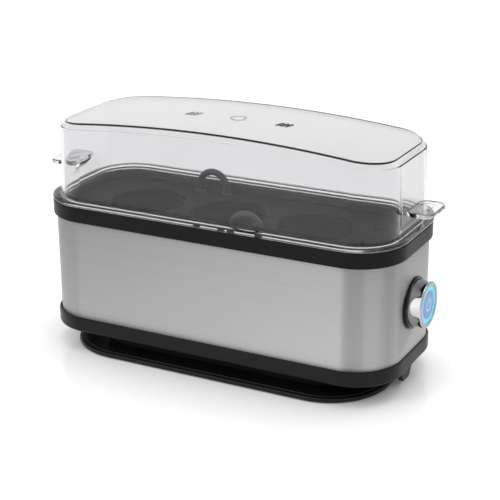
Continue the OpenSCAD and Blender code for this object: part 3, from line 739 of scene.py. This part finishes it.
class EGGCOOKER_OT_base_shell(bpy.types.Operator):
    """Builds the black base shell with its band and screw pockets"""

    bl_idname = "eggcooker.base_shell"
    bl_label = "Base shell"
    bl_options = {"REGISTER", "UNDO"}

    def execute(self, context):
        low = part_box("base_shell")[0]
        band_x, band_y = half("base_shell")
        sleeve_x, sleeve_y = half("sleeve")
        radius = sizes().sleeve_radius + (band_x - sleeve_x + band_y - sleeve_y) / 2
        outline = Outline(band_x, band_y, radius)
        top = 20 * MM
        lip = 1.0 * MM
        under = 1.6 * MM
        floor = low.z + sizes().floor_thickness
        path = [
            (3.5 * MM, low.z), *arc(under, low.z + under, under, 270, 180),
            (0.0, top - lip), (0.45 * lip, top), (lip, top), (lip, top - 1.5 * MM),
            (lip, 15.5 * MM), (3.9 * MM, 15.5 * MM), (3.9 * MM, floor), (6 * MM, floor),
        ]
        bm = bmesh.new()
        capped_sweep(bm, outline, path)
        made = piece(bm, "base_band_shell",
                     moulded("moulded_black_band", colours().black, 0.34, specular=0.17))
        ties = screw_spots("tie_screws")
        screws = screw_spots("foot_screws")
        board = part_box("bracket_screws")
        board_x = (board[0].x + board[1].x) / 2
        boards = [(board_x, side * (board[1].y - 3 * MM)) for side in (-1, 1)]
        bosses = ((ties, 5.6 * MM, low.z + 5.5 * MM), (screws, SCREW_POST, 19 * MM),
                  (boards, 3.6 * MM, low.z + 6 * MM))
        for spots, boss_radius, boss_top in bosses:
            carve(made, posts(spots, boss_radius, low.z + 0.5 * MM, boss_top), "UNION")
        for hole_radius, depth in ((SCREW_HEAD, 3 * MM), (SCREW_HOLE, 8 * MM)):
            carve(made, posts(ties, hole_radius, low.z - 2 * MM, low.z + depth))
        fit(made, "base", "black_plastic", "base_shell")
        return {"FINISHED"}


class EGGCOOKER_OT_sleeve(bpy.types.Operator):
    """Builds the brushed steel sleeve with its button hole and back seam"""

    bl_idname = "eggcooker.sleeve"
    bl_label = "Steel sleeve"
    bl_options = {"REGISTER", "UNDO"}

    def execute(self, context):
        low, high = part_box("sleeve")
        outline = Outline(*half("sleeve"), sizes().sleeve_radius)
        sheet = sizes().sheet
        bm = bmesh.new()
        closed_sweep(bm, outline, [(0.0, low.z), (0.0, high.z), (sheet, high.z), (sheet, low.z)])
        made = piece(bm, "steel_sleeve", brushed_steel(colours().steel))
        axis = button_axis()
        hole = bmesh.new()
        where = Matrix.Translation((high.x, 0.0, axis.z)) @ Matrix.Rotation(math.pi / 2, 4, "Y")
        bezel_low, bezel_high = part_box("button_bezel")
        radius = (bezel_high.z - bezel_low.z) / 2 - 0.6 * MM
        rod(hole, radius, 12 * MM, where, 96)
        seam = bmesh.ops.create_cube(hole, size=1.0)["verts"]
        seam_size = (0.4 * MM, 4 * MM, 2 * (high.z - low.z))
        scale_and_move(hole, seam, seam_size, (0.0, high.y, low.z))
        carve(made, hole)
        fit(made, "base", "brushed_sleeve", "sleeve")
        return {"FINISHED"}


class EGGCOOKER_OT_top_rim(bpy.types.Operator):
    """Builds the black collar that holds the pan and carries the lid"""

    bl_idname = "eggcooker.top_rim"
    bl_label = "Top rim"
    bl_options = {"REGISTER", "UNDO"}

    def execute(self, context):
        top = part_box("top_rim")[1].z
        bottom = top - sizes().rim_height
        edge = sizes().edge_round
        land, slope_h, slope_in = sizes().rim_land, sizes().slope_height, sizes().slope_inset
        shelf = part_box("pan_seal")[0].z
        inner = land + slope_in
        path = [
            (1.5 * MM, bottom), *arc(edge, bottom + edge, edge, 270, 180),
            *arc(edge, top - edge, edge, 180, 90),
            *arc(land - 0.5 * MM, top - 0.5 * MM, 0.5 * MM, 90, 10, 4),
            (inner - 0.1 * MM, top - slope_h + 0.2 * MM), (inner, top - slope_h),
            (inner, shelf), (9 * MM, shelf), (9 * MM, shelf - 2 * MM), (2.6 * MM, shelf - 2 * MM),
            (2.6 * MM, bottom + 2.6 * MM), (1.5 * MM, bottom + 2.6 * MM),
        ]
        bm = bmesh.new()
        closed_sweep(bm, rim_outline(), path)
        made = piece(bm, "rim_collar",
                     moulded("moulded_black_rim", colours().black, 0.34, specular=0.1))
        ties = screw_spots("tie_screws")
        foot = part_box("top_rim")[0].z
        post, thread, depth = 4.5 * MM, 1.5 * MM, 11 * MM
        carve(made, posts(ties, post, foot, shelf - 1 * MM), "UNION")
        carve(made, posts(ties, thread, foot - 1 * MM, foot + depth))
        fit(made, "base", "black_plastic", "top_rim")
        return {"FINISHED"}


class EGGCOOKER_OT_water_pan(bpy.types.Operator):
    """Builds the coated water pan under the tray"""

    bl_idname = "eggcooker.water_pan"
    bl_label = "Water pan"
    bl_options = {"REGISTER", "UNDO"}

    def execute(self, context):
        low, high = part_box("water_pan")
        flange_x, flange_y = half("water_pan")
        sheet = sizes().pan_sheet
        clear = 0.3 * MM
        flange_r = sizes().rim_radius - sizes().rim_land - sizes().slope_inset - clear
        sleeve_x, sleeve_y = half("sleeve")
        shift = sizes().egg_shift
        pan = Outline(sleeve_x - 13 * MM - shift, sleeve_y - 9.4 * MM, sizes().pan_radius, -shift)
        bend = 3.5 * MM
        lip = 1.2 * MM
        floor = low.z + sheet
        path = [
            (bend + 3 * MM, floor), *arc(bend, floor + bend, bend, 270, 180),
            *arc(-lip, high.z - lip, lip, 0, 90, 4),
            (-lip, high.z - sheet), (-sheet, high.z - sheet),
            *arc(bend - sheet, low.z + bend, bend, 180, 270), (bend + 3 * MM, low.z),
        ]
        bm = bmesh.new()
        capped_sweep(bm, pan, path)
        coating = coated_metal((0.022, 0.022, 0.024))
        made = piece(bm, "water_pan_bowl", coating)
        flange = bmesh.new()
        capped_sweep(flange, Outline(flange_x, flange_y, flange_r),
                     [(0.0, high.z - sheet), (0.0, high.z - 0.4 * MM), (0.4 * MM, high.z)])
        flange_piece = piece(flange, "pan_flange", coating, smooth=False)
        opening = bmesh.new()
        spread, past = -0.6 * MM, 3 * MM
        capped_sweep(opening, pan, [(spread, high.z - past), (spread, high.z + past)])
        carve(flange_piece, opening)
        carve(made, flange_piece, "UNION")
        fit(made, "base", "coated_pan", "water_pan")
        return {"FINISHED"}


class EGGCOOKER_OT_egg_tray(bpy.types.Operator):
    """Builds the egg tray's plate, its collars and its two loop handles"""

    bl_idname = "eggcooker.egg_tray"
    bl_label = "Egg tray"
    bl_options = {"REGISTER", "UNDO"}

    def execute(self, context):
        self.plate()
        self.handles()
        return {"FINISHED"}

    def plate(self):
        low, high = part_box("tray_plate")
        length, width = half("tray_plate")
        plate_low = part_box("water_pan")[1].z
        radius = sizes().rim_radius - sizes().lid_inset - sizes().lid_wall - sizes().lid_lean
        edge = 0.5 * MM
        material = moulded("satin_tray", colours().tray, 0.45, 0.003 * MM, 0.02)
        bm = bmesh.new()
        capped_sweep(bm, Outline(length, width, radius), [
            (edge, plate_low), *arc(edge, plate_low + edge, edge, 270, 180, 3),
            *arc(edge, high.z - edge, edge, 180, 90, 4)])
        made = piece(bm, "egg_tray_plate", material)
        hole = sizes().egg_hole
        places = [i * sizes().egg_pitch - sizes().egg_shift for i in (-1, 0, 1)]
        cuts, rings = bmesh.new(), bmesh.new()
        collar = hole + 1.2 * MM
        section = rounded_section(
            [(hole, low.z), (collar, low.z), (collar, high.z - 0.3 * MM), (collar, high.z),
             (hole, high.z)],
            [0.3 * MM, 0.3 * MM, 0, 0, 0.8 * MM])
        through = 20 * MM
        for x in places:
            rod(cuts, hole + 0.6 * MM, through, Matrix.Translation((x, 0.0, high.z)), 96)
            lathe(rings, section, (x, 0.0, 0.0), "Z", 96)
        drain_radius, drain_x, drain_y = 1.6 * MM, places[2] + hole + 10.5 * MM, 10 * MM
        for y in (-drain_y, drain_y):
            rod(cuts, drain_radius, through, Matrix.Translation((drain_x, y, high.z)), 32)
        carve(made, cuts)
        carve(made, rings, "UNION")
        fit(made, "egg_tray", "tray_plastic", "tray_plate")

    def handles(self):
        low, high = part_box("tray_handles")
        bar, reach = 1.9 * MM, 8.3 * MM
        top = high.z - bar
        bend_z = top - reach
        bm = bmesh.new()
        for side in (-1, 1):
            x = (high.x - bar - reach) if side < 0 else (low.x + bar + reach)
            y = side * (high.y - bar)
            made = bmesh.ops.create_circle(bm, cap_ends=False, segments=32, radius=bar,
                                           matrix=Matrix.Translation((x + reach, y, bend_z)))
            rim = list(dict.fromkeys(e for v in made["verts"] for e in v.link_edges))
            spun = bmesh.ops.spin(bm, geom=made["verts"] + rim, cent=(x, y, bend_z),
                                  axis=(0, -1, 0), angle=math.pi, steps=40, use_merge=False)
            far = [e for e in spun["geom_last"] if isinstance(e, bmesh.types.BMEdge)]
            for leg, leg_x in ((rim, x + reach), (far, x - reach)):
                for height, spread in ((1.0 * MM, 1.0), (0.3 * MM, 1.22), (0.0, 1.5)):
                    grown = bmesh.ops.extrude_edge_only(bm, edges=leg)["geom"]
                    verts = {v for v in grown if isinstance(v, bmesh.types.BMVert)}
                    for v in verts:
                        off = Vector((v.co.x - leg_x, v.co.y - y, 0.0)).normalized() * bar * spread
                        v.co = Vector((leg_x + off.x, y + off.y, low.z + height))
                    leg = [e for e in grown
                           if isinstance(e, bmesh.types.BMEdge) and set(e.verts) <= verts]
                close(bm, leg)
        slate = moulded("slate_handles", colours().handle, 0.3, 0.01 * MM, 0.3)
        fit(piece(bm, "tray_loops", slate), "egg_tray", "handle_plastic", "tray_handles")


class EGGCOOKER_OT_lid(bpy.types.Operator):
    """Builds the clear crowned lid with its flange, tabs and steam vents"""

    bl_idname = "eggcooker.lid"
    bl_label = "Lid"
    bl_options = {"REGISTER", "UNDO"}

    def execute(self, context):
        low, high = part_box("lid")
        outline = rim_outline()
        foot = sizes().lid_inset
        wall = sizes().lid_wall
        lean = sizes().lid_lean
        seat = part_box("top_rim")[1].z
        flange = seat + 2 * MM
        upper = flange + 5 * MM
        reach = outline.a - foot
        slant, crease = 2.55 * MM, 0.45 * MM
        inner_slant, inner_crease = 1.6 * MM, 0.5 * MM
        edge = 0.7 * MM
        head = foot + lean
        skirt = foot + 0.8 * MM
        outer = [
            (skirt + 0.2 * MM, low.z), (skirt, low.z + 0.2 * MM), (skirt, seat),
            (1.2 * MM, seat), *arc(edge, seat + edge, edge, 250, 180, 4),
            *arc(edge, flange - edge, edge, 180, 90, 4),
            *arc(foot - 0.9 * MM, flange + 0.9 * MM, 0.9 * MM, 270, 358, 4),
            (foot + 0.05 * MM, flange + 3 * MM),
        ]
        outer += self.shoulder(head, high.z, slant, crease)
        top = high.z - wall
        inner = [
            (foot + wall, low.z), (foot + wall, flange),
            *self.shoulder(head + wall, top, inner_slant, inner_crease),
        ]
        bm = bmesh.new()
        capped_sweep(bm, outline, inner[::-1] + outer)
        self.slice_top(bm, outline, upper, (top, high.z))
        self.crown(bm, upper, reach, sizes().crown)
        self.stretch(bm, seat, flange + 3 * MM, reach)
        clear = clear_plastic()
        made = piece(bm, "clear_lid", clear)
        carve(made, self.tabs(outline, foot, high, seat, clear), "UNION")
        carve(made, self.vents(high, reach))
        carve(made, self.mark(high, reach))
        fit(made, "lid", "clear_plastic", "lid")
        return {"FINISHED"}

    def shoulder(self, inset, top, slant, crease):
        """Points up a wall, over a slanted shoulder with softened creases and onto the flat top."""
        return [
            *arc(inset + crease, top - slant - crease, crease, 180, 135, 4),
            *arc(inset + slant + crease, top - crease, crease, 135, 90, 4),
            (inset + slant + crease + 2 * MM, top),
        ]

    def slice_top(self, bm, outline, above, caps):
        """Slices the upper part along its straight length, and its flat caps at corner points."""
        straight = outline.a - outline.r
        slices = 56
        for k in range(slices + 1):
            upper = [f for f in bm.faces if max(v.co.z for v in f.verts) > above]
            self.cut(bm, upper, straight * (2 * k / slices - 1))
        slack = 1e-6
        for level in caps:
            flat = [v for v in bm.verts
                    if abs(v.co.z - level) < slack and abs(v.co.x) > straight + slack]
            inner = [v for v in flat if any(len(f.verts) > 4 for f in v.link_faces)]
            for x in sorted({round(v.co.x, 6) for v in inner}):
                faces = [f for f in bm.faces if all(abs(v.co.z - level) < slack for v in f.verts)]
                self.cut(bm, [f for f in faces if len(f.verts) > 4], x)

    def cut(self, bm, faces, x):
        """Cuts some faces along the plane at x."""
        geom = list(dict.fromkeys(g for f in faces for g in (f, *f.edges, *f.verts)))
        bmesh.ops.bisect_plane(bm, geom=geom, dist=2e-6, plane_co=(x, 0, 0), plane_no=(1, 0, 0))

    def crown(self, bm, above, reach, drop):
        """Lowers the part above a height towards the ends, so that the top is crowned."""
        for vert in bm.verts:
            if vert.co.z > above:
                vert.co.z -= drop * (vert.co.x / reach) ** 2

    def stretched(self, x, reach):
        """Where a place along the lid goes when the wall is lengthened towards the button end."""
        return x + sizes().lid_stretch * (x + reach) / (2 * reach)

    def stretch(self, bm, start, end, reach):
        """Lengthens what is above the end height, and what is between the heights in proportion."""
        for vert in bm.verts:
            share = min(1.0, max(0.0, (vert.co.z - start) / (end - start)))
            vert.co.x += share * (self.stretched(vert.co.x, reach) - vert.co.x)

    def tabs(self, outline, foot, high, seat, clear):
        """The two end tabs, with rounded corners and a shallow oval on top."""
        top = seat + sizes().tab_drop
        thick = 2.3 * MM
        half_width, corner = 12 * MM, 5 * MM
        bm = bmesh.new()
        for side in (-1, 1):
            root = outline.a - foot - 1.0 * MM + max(side, 0) * sizes().lid_stretch
            reach = high.x - root
            centre = side * (high.x - reach / 2)
            plan = Outline(reach / 2, half_width, corner, centre)
            edge = 0.6 * MM
            capped_sweep(bm, plan, [
                (edge, top - thick), *arc(edge, top - thick + edge, edge, 270, 180, 3),
                *arc(edge, top - edge, edge, 180, 90, 3)])
        made = piece(bm, "lid_tabs", clear, smooth=False)
        ovals = bmesh.new()
        for side in (-1, 1):
            self.groove(ovals, 3.0 * MM, 4.2 * MM, 0.35 * MM, 0.2 * MM, (0.0, 0.0, 0.0))
            ring = [v for v in ovals.verts if abs(v.co.x) < 5 * MM]
            scale_and_move(ovals, ring, (1.0, 1.9, 1.0), (side * (high.x - 7.2 * MM), 0.0, top))
        carve(made, ovals)
        return made

    def groove(self, bm, inner, outer, depth, rounding, centre):
        """The tool for a round groove whose bottom edges are rounded."""
        section = rounded_section(
            [(inner, -depth), (outer, -depth), (outer, 1 * MM), (inner, 1 * MM)],
            [rounding, rounding, 0, 0])
        lathe(bm, section, centre, "Z", 64)

    def vents(self, high, reach):
        """Three slanted steam slots in each of the two vents."""
        slot = Outline(3.4 * MM, 0.6 * MM, 0.59 * MM)
        place, pitch, past = 26.3 * MM, 2.5 * MM, 8 * MM
        turn = Matrix.Rotation(math.radians(70), 4, "Z")
        bm = bmesh.new()
        for side in (-1, 1):
            for k in (-1, 0, 1):
                before = set(bm.verts)
                capped_sweep(bm, slot, [(0.0, high.z - past), (0.0, high.z + past)])
                along = self.stretched(side * place + k * pitch, reach)
                bmesh.ops.transform(bm, matrix=Matrix.Translation((along, 0.0, 0.0)) @ turn,
                                    verts=[v for v in bm.verts if v not in before])
        return bm

    def mark(self, high, reach):
        """The shallow ring in the middle of the top, where the mould was fed."""
        bm = bmesh.new()
        centre = (self.stretched(0.0, reach), 0.0, high.z)
        self.groove(bm, 3.7 * MM, 4.4 * MM, 0.3 * MM, 0.15 * MM, centre)
        return bm


class EGGCOOKER_OT_button(bpy.types.Operator):
    """Builds the button: bezel, chrome cap, lit ring, lens and power symbol"""

    bl_idname = "eggcooker.button"
    bl_label = "Push button"
    bl_options = {"REGISTER", "UNDO"}

    def execute(self, context):
        axis = button_axis()
        gloss = moulded("gloss_black_bezel", shade(colours().black, 0.8), 0.18, 0.004 * MM)
        self.bezel(axis, gloss)
        self.cap(axis)
        self.glow(axis)
        return {"FINISHED"}

    def turned(self, name, corners, radii, axis, material, steps=128):
        bm = bmesh.new()
        lathe(bm, rounded_section(corners, radii), (0.0, axis.y, axis.z), "X", steps)
        return piece(bm, name, material)

    def bezel(self, axis, material):
        low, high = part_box("button_bezel")
        flange = (high.z - low.z) / 2
        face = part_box("sleeve")[1].x
        barrel, bore = flange - 0.7 * MM, flange - 1.4 * MM - 0.02 * MM
        corners = [(bore, low.x), (barrel, low.x), (barrel, face), (flange, face),
                   (flange, high.x), (bore, high.x)]
        radii = [0.1 * MM, 0.1 * MM, 0, 0, 0.6 * MM, 0.3 * MM]
        made = self.turned("bezel_ring", corners, radii, axis, material)
        fit(made, "base", "black_plastic", "button_bezel")

    def cap(self, axis):
        low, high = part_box("button_cap")
        stop = (high.z - low.z) / 2
        ring_low, ring_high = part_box("light_ring")
        window = (ring_high.z - ring_low.z) / 2 + 0.03 * MM
        outer = 12.25 * MM
        hollow = outer - 1.25 * MM
        web_low, web_high = ring_low.x - 1.5 * MM, ring_low.x
        corners = [
            (0, web_low), (hollow, web_low), (hollow, low.x), (stop, low.x),
            (stop, low.x + 1.2 * MM), (outer, low.x + 1.3 * MM), (outer, high.x),
            (window, high.x), (window, web_high), (0, web_high)]
        radii = [0, 0, 0.1 * MM, 0.1 * MM, 0, 0, 0.7 * MM, 0.3 * MM, 0, 0]
        made = self.turned("chrome_cap", corners, radii, axis, polished_chrome(high.x))
        fit(made, "button", "chrome", "button_cap")

    def glow(self, axis):
        low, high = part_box("light_ring")
        lens_low, lens_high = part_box("button_lens")
        outer = (high.z - low.z) / 2
        lens = (lens_high.z - lens_low.z) / 2
        inner = lens + 0.03 * MM
        light, violet = colours().light, colours().lens
        lit = lit_plastic("lit_ring", (0.12, 0.62, 0.86), tuple(light), axis, (inner, outer), 0.75)
        ring = self.turned("light_ring_guide", [
            (inner, low.x), (outer, low.x), (outer, high.x), (inner, high.x)],
            [0, 0, 0.4 * MM, 0.2 * MM], axis, lit)
        fit(ring, "button", "light_cyan", "light_ring")
        disc = lit_plastic("lit_lens", (0.2, 0.42, 0.8), tuple(violet), axis, (0.0, lens), 0.6)
        face = self.turned("lens_disc", [
            (0, lens_low.x), (lens, lens_low.x), (lens, lens_high.x), (0, lens_high.x)],
            [0, 0, 0.3 * MM, 0], axis, disc)
        fit(face, "button", "lens_violet", "button_lens")
        self.symbol(axis, lens_high.x)

    def symbol(self, axis, face):
        low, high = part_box("power_symbol")
        radius = (high.y - low.y) / 2
        line = 0.21 * radius
        thick = high.x - face
        gap = math.radians(64)
        bm = bmesh.new()
        verts = bmesh.ops.create_grid(bm, x_segments=1, y_segments=1, size=0.5)["verts"]
        scale_and_move(bm, verts, (line, thick, 1.0), (radius - line / 2, thick / 2, 0.0))
        bmesh.ops.rotate(bm, verts=verts, cent=(0, 0, 0), matrix=Matrix.Rotation(gap / 2, 3, "Y"))
        geom = bm.verts[:] + bm.edges[:] + bm.faces[:]
        bmesh.ops.spin(bm, geom=geom, cent=(0, 0, 0), axis=(0, 1, 0), angle=FULL_TURN - gap,
                       steps=48, use_merge=False)
        bar = bmesh.ops.create_cube(bm, size=1.0)["verts"]
        scale_and_move(bm, bar, (radius, thick, line), (radius * 0.75, thick / 2, 0.0))
        turn = Matrix(((0, 1, 0), (0, 0, -1), (1, 0, 0)))
        bmesh.ops.rotate(bm, verts=bm.verts[:], cent=(0, 0, 0), matrix=turn)
        bmesh.ops.translate(bm, verts=bm.verts[:], vec=(face, axis.y, axis.z))
        pale = lit_plastic(
            "lit_symbol", (0.42, 0.74, 0.95), (0.3, 0.66, 0.92), axis, (0.0, radius), 0.8)
        fit(piece(bm, "power_mark", pale), "button", "light_cyan", "power_symbol")


class EGGCOOKER_OT_inner_finishes(bpy.types.Operator):
    """Gives every carried-over inner part its own finish"""

    bl_idname = "eggcooker.inner_finishes"
    bl_label = "Inner finishes"
    bl_options = {"REGISTER", "UNDO"}

    def execute(self, context):
        finishes = {
            "screw_steel": sheet_metal("zinc_plated", (0.5, 0.51, 0.52), 0.3),
            "sheet_metal": sheet_metal("plain_sheet", (0.55, 0.55, 0.55), 0.35),
            "element_metal": sheet_metal("heat_marked_tube", (0.16, 0.13, 0.11), 0.45),
            "black_plastic": moulded("inner_black", (0.02, 0.02, 0.02), 0.45),
            "dark_phenolic": moulded("phenolic", (0.03, 0.028, 0.026), 0.4),
            "white_plastic": moulded("off_white", (0.72, 0.7, 0.65), 0.4),
            "ceramic": moulded("glazed_ceramic", (0.66, 0.6, 0.5), 0.3),
            "blue_plastic": moulded("relay_blue", (0.05, 0.16, 0.45), 0.4),
            "light_cyan": moulded("lamp_epoxy", (0.5, 0.8, 0.9), 0.15),
            "silicone": rubbery("dark_silicone", (0.05, 0.05, 0.05)),
            "rubber": rubbery("inner_rubber", (0.02, 0.02, 0.02)),
            "wire_brown": rubbery("brown_insulation", (0.12, 0.045, 0.02)),
            "wire_white": rubbery("white_insulation", (0.62, 0.6, 0.54)),
            "circuit_board": circuit_board(),
            "coated_pan": coated_metal((0.022, 0.022, 0.024)),
            "tray_plastic": moulded("inner_tray", colours().tray, 0.33),
            "handle_plastic": moulded("inner_handle", colours().handle, 0.3),
            "chrome": sheet_metal("inner_chrome", (0.8, 0.8, 0.8), 0.1),
            "lens_violet": moulded("inner_lens", colours().lens, 0.2),
            "clear_plastic": moulded("inner_clear", (0.8, 0.82, 0.83), 0.1),
            "brushed_sleeve": sheet_metal("inner_steel", colours().steel, 0.3),
        }
        slots = {part["node"]: part["material_slot"] for part in frame["record"]["subparts"]}
        for name, node in frame["nodes"].items():
            node.data.materials.clear()
            node.data.materials.append(finishes[slots[name]])
        return {"FINISHED"}


# ---- the stage ----


class EGGCOOKER_OT_stage(bpy.types.Operator):
    """Sets the floor, the lamps and the camera"""

    bl_idname = "eggcooker.stage"
    bl_label = "Stage"
    bl_options = {"REGISTER", "UNDO"}

    def execute(self, context):
        self.floor()
        self.cards()
        self.lamps(context)
        self.camera(context)
        return {"FINISHED"}

    def floor(self):
        bm = bmesh.new()
        bmesh.ops.create_grid(bm, x_segments=1, y_segments=1, size=6.0)
        finish = Finish("pale_floor")
        cloud = finish.noise(finish.place(), 1.5, 2.0)
        pale = finish.surface({
            "Base Color": finish.mix((0.96, 0.96, 0.962), (0.975, 0.975, 0.975), cloud),
            "Roughness": 0.14 + 0.02 * cloud,
            "Specular IOR Level": 0.35,
        })
        piece(bm, "studio_floor", pale, smooth=False)

    def cards(self):
        """Upright reflector cards that only mirror-like surfaces see."""
        # name, bearing in degrees, start along x, width, greys at the two edges
        cards = (
            ("card_left", -27.6, -0.012, 0.56, (0.3, 1.8)),
            ("card_front", 12.0, 0.08, 0.62, (0.64, 0.55)),
            ("card_right", 98.0, 0.09, 0.5, (0.64, 0.34)),
            ("card_back", 150.0, 0.1, 0.4, (0.3, 0.7)),
        )
        distance, height = 0.7, 1.1
        for name, bearing, start, width, greys in cards:
            turn = math.radians(bearing)
            away = Vector((math.sin(turn), -math.cos(turn), 0.0))
            across = Vector((math.cos(turn), math.sin(turn), 0.0))
            centre = Vector((start, 0.0, 0.0)) + away * distance
            bm = bmesh.new()
            bmesh.ops.create_grid(bm, x_segments=1, y_segments=1, size=0.5)
            place = Matrix((across, (0.0, 0.0, 1.0), away)).transposed()
            bmesh.ops.scale(bm, verts=bm.verts[:], vec=(width, height, 1.0))
            bmesh.ops.rotate(bm, verts=bm.verts[:], cent=(0, 0, 0), matrix=place)
            lift = Vector((0.0, 0.0, height / 2 + 0.01))
            bmesh.ops.translate(bm, verts=bm.verts[:], vec=centre + lift)
            finish = Finish(name)
            along = finish.node("ShaderNodeVectorMath", {"operation": "DOT_PRODUCT"},
                                {0: finish.place(origin=centre), 1: across}, output="Value")
            share = finish.clamp(along / width + 0.5)
            grey = finish.mix((greys[0],) * 3, (greys[1],) * 3, share)
            glow = finish.surface({
                "Base Color": (0.0, 0.0, 0.0, 1.0), "Specular IOR Level": 0.0,
                "Emission Color": grey, "Emission Strength": 1.0})
            card = piece(bm, name, glow, smooth=False)
            card.visible_camera = False
            card.visible_diffuse = False
            card.visible_shadow = False
            card.visible_transmission = name == "card_right"

    def lamps(self, context):
        world = bpy.data.worlds.new("studio")
        context.scene.world = world
        world.use_nodes = True
        background = world.node_tree.nodes["Background"]
        background.inputs["Color"].default_value = (1.0, 1.0, 1.0, 1.0)
        background.inputs["Strength"].default_value = 1.0
        lamps = (
            ("key_left", (-1.1, -1.5, 1.5), (1.2, 1.2), 9.0),
            ("top", (0.1, 0.2, 1.9), (1.4, 1.0), 9.0),
            ("rim_back", (0.9, 1.8, 1.2), (1.0, 0.8), 5.0),
        )
        aim = Vector((0.0, 0.0, 0.06))
        for name, place, size, power in lamps:
            light = bpy.data.lights.new(name, "AREA")
            light.shape = "RECTANGLE"
            light.size, light.size_y = size
            light.energy = power
            lamp = bpy.data.objects.new(name, light)
            lamp.location = place
            lamp.rotation_euler = (aim - lamp.location).to_track_quat("-Z", "Y").to_euler()
            context.scene.collection.objects.link(lamp)

    def camera(self, context):
        target = Vector((5.38, 2.78, 57.84)) * MM
        azimuth, elevation = math.radians(27.59), math.radians(20.2)
        distance = 754.15 * MM
        level = math.cos(elevation)
        away = Vector((math.sin(azimuth) * level, -math.cos(azimuth) * level, math.sin(elevation)))
        view = bpy.data.cameras.new("product_view")
        view.sensor_width = 36.0
        view.lens = 101.1
        camera = bpy.data.objects.new("product_view", view)
        roll = Matrix.Rotation(math.radians(-0.47), 4, "Z")
        turn = (-away).to_track_quat("-Z", "Y").to_matrix().to_4x4()
        camera.matrix_world = Matrix.Translation(target + away * distance) @ turn @ roll
        context.scene.collection.objects.link(camera)
        context.scene.camera = camera
        context.scene.view_settings.view_transform = "Standard"


class EGGCOOKER_PT_panel(bpy.types.Panel):
    """Lists the cooker's operators in the sidebar"""

    bl_label = "Egg Cooker"
    bl_idname = "EGGCOOKER_PT_panel"
    bl_space_type = "VIEW_3D"
    bl_region_type = "UI"
    bl_category = "Egg Cooker"

    def draw(self, context):
        for operator in OPERATORS:
            self.layout.operator(operator.bl_idname)


OPERATORS = (
    EGGCOOKER_OT_underside, EGGCOOKER_OT_base_shell, EGGCOOKER_OT_sleeve, EGGCOOKER_OT_top_rim,
    EGGCOOKER_OT_water_pan, EGGCOOKER_OT_egg_tray, EGGCOOKER_OT_lid, EGGCOOKER_OT_button,
    EGGCOOKER_OT_inner_finishes, EGGCOOKER_OT_stage,
)
CLASSES = (CookerSizes, CookerColours, *OPERATORS, EGGCOOKER_PT_panel)


def register():
    for cls in CLASSES:
        bpy.utils.register_class(cls)
    bpy.types.Scene.cooker_sizes = bpy.props.PointerProperty(type=CookerSizes)
    bpy.types.Scene.cooker_colours = bpy.props.PointerProperty(type=CookerColours)


def unregister():
    del bpy.types.Scene.cooker_colours
    del bpy.types.Scene.cooker_sizes
    for cls in reversed(CLASSES):
        bpy.utils.unregister_class(cls)


def main():
    register()
    for operator in OPERATORS:
        group, name = operator.bl_idname.split(".")
        getattr(getattr(bpy.ops, group), name)()


if __name__ == "__main__":
    main()
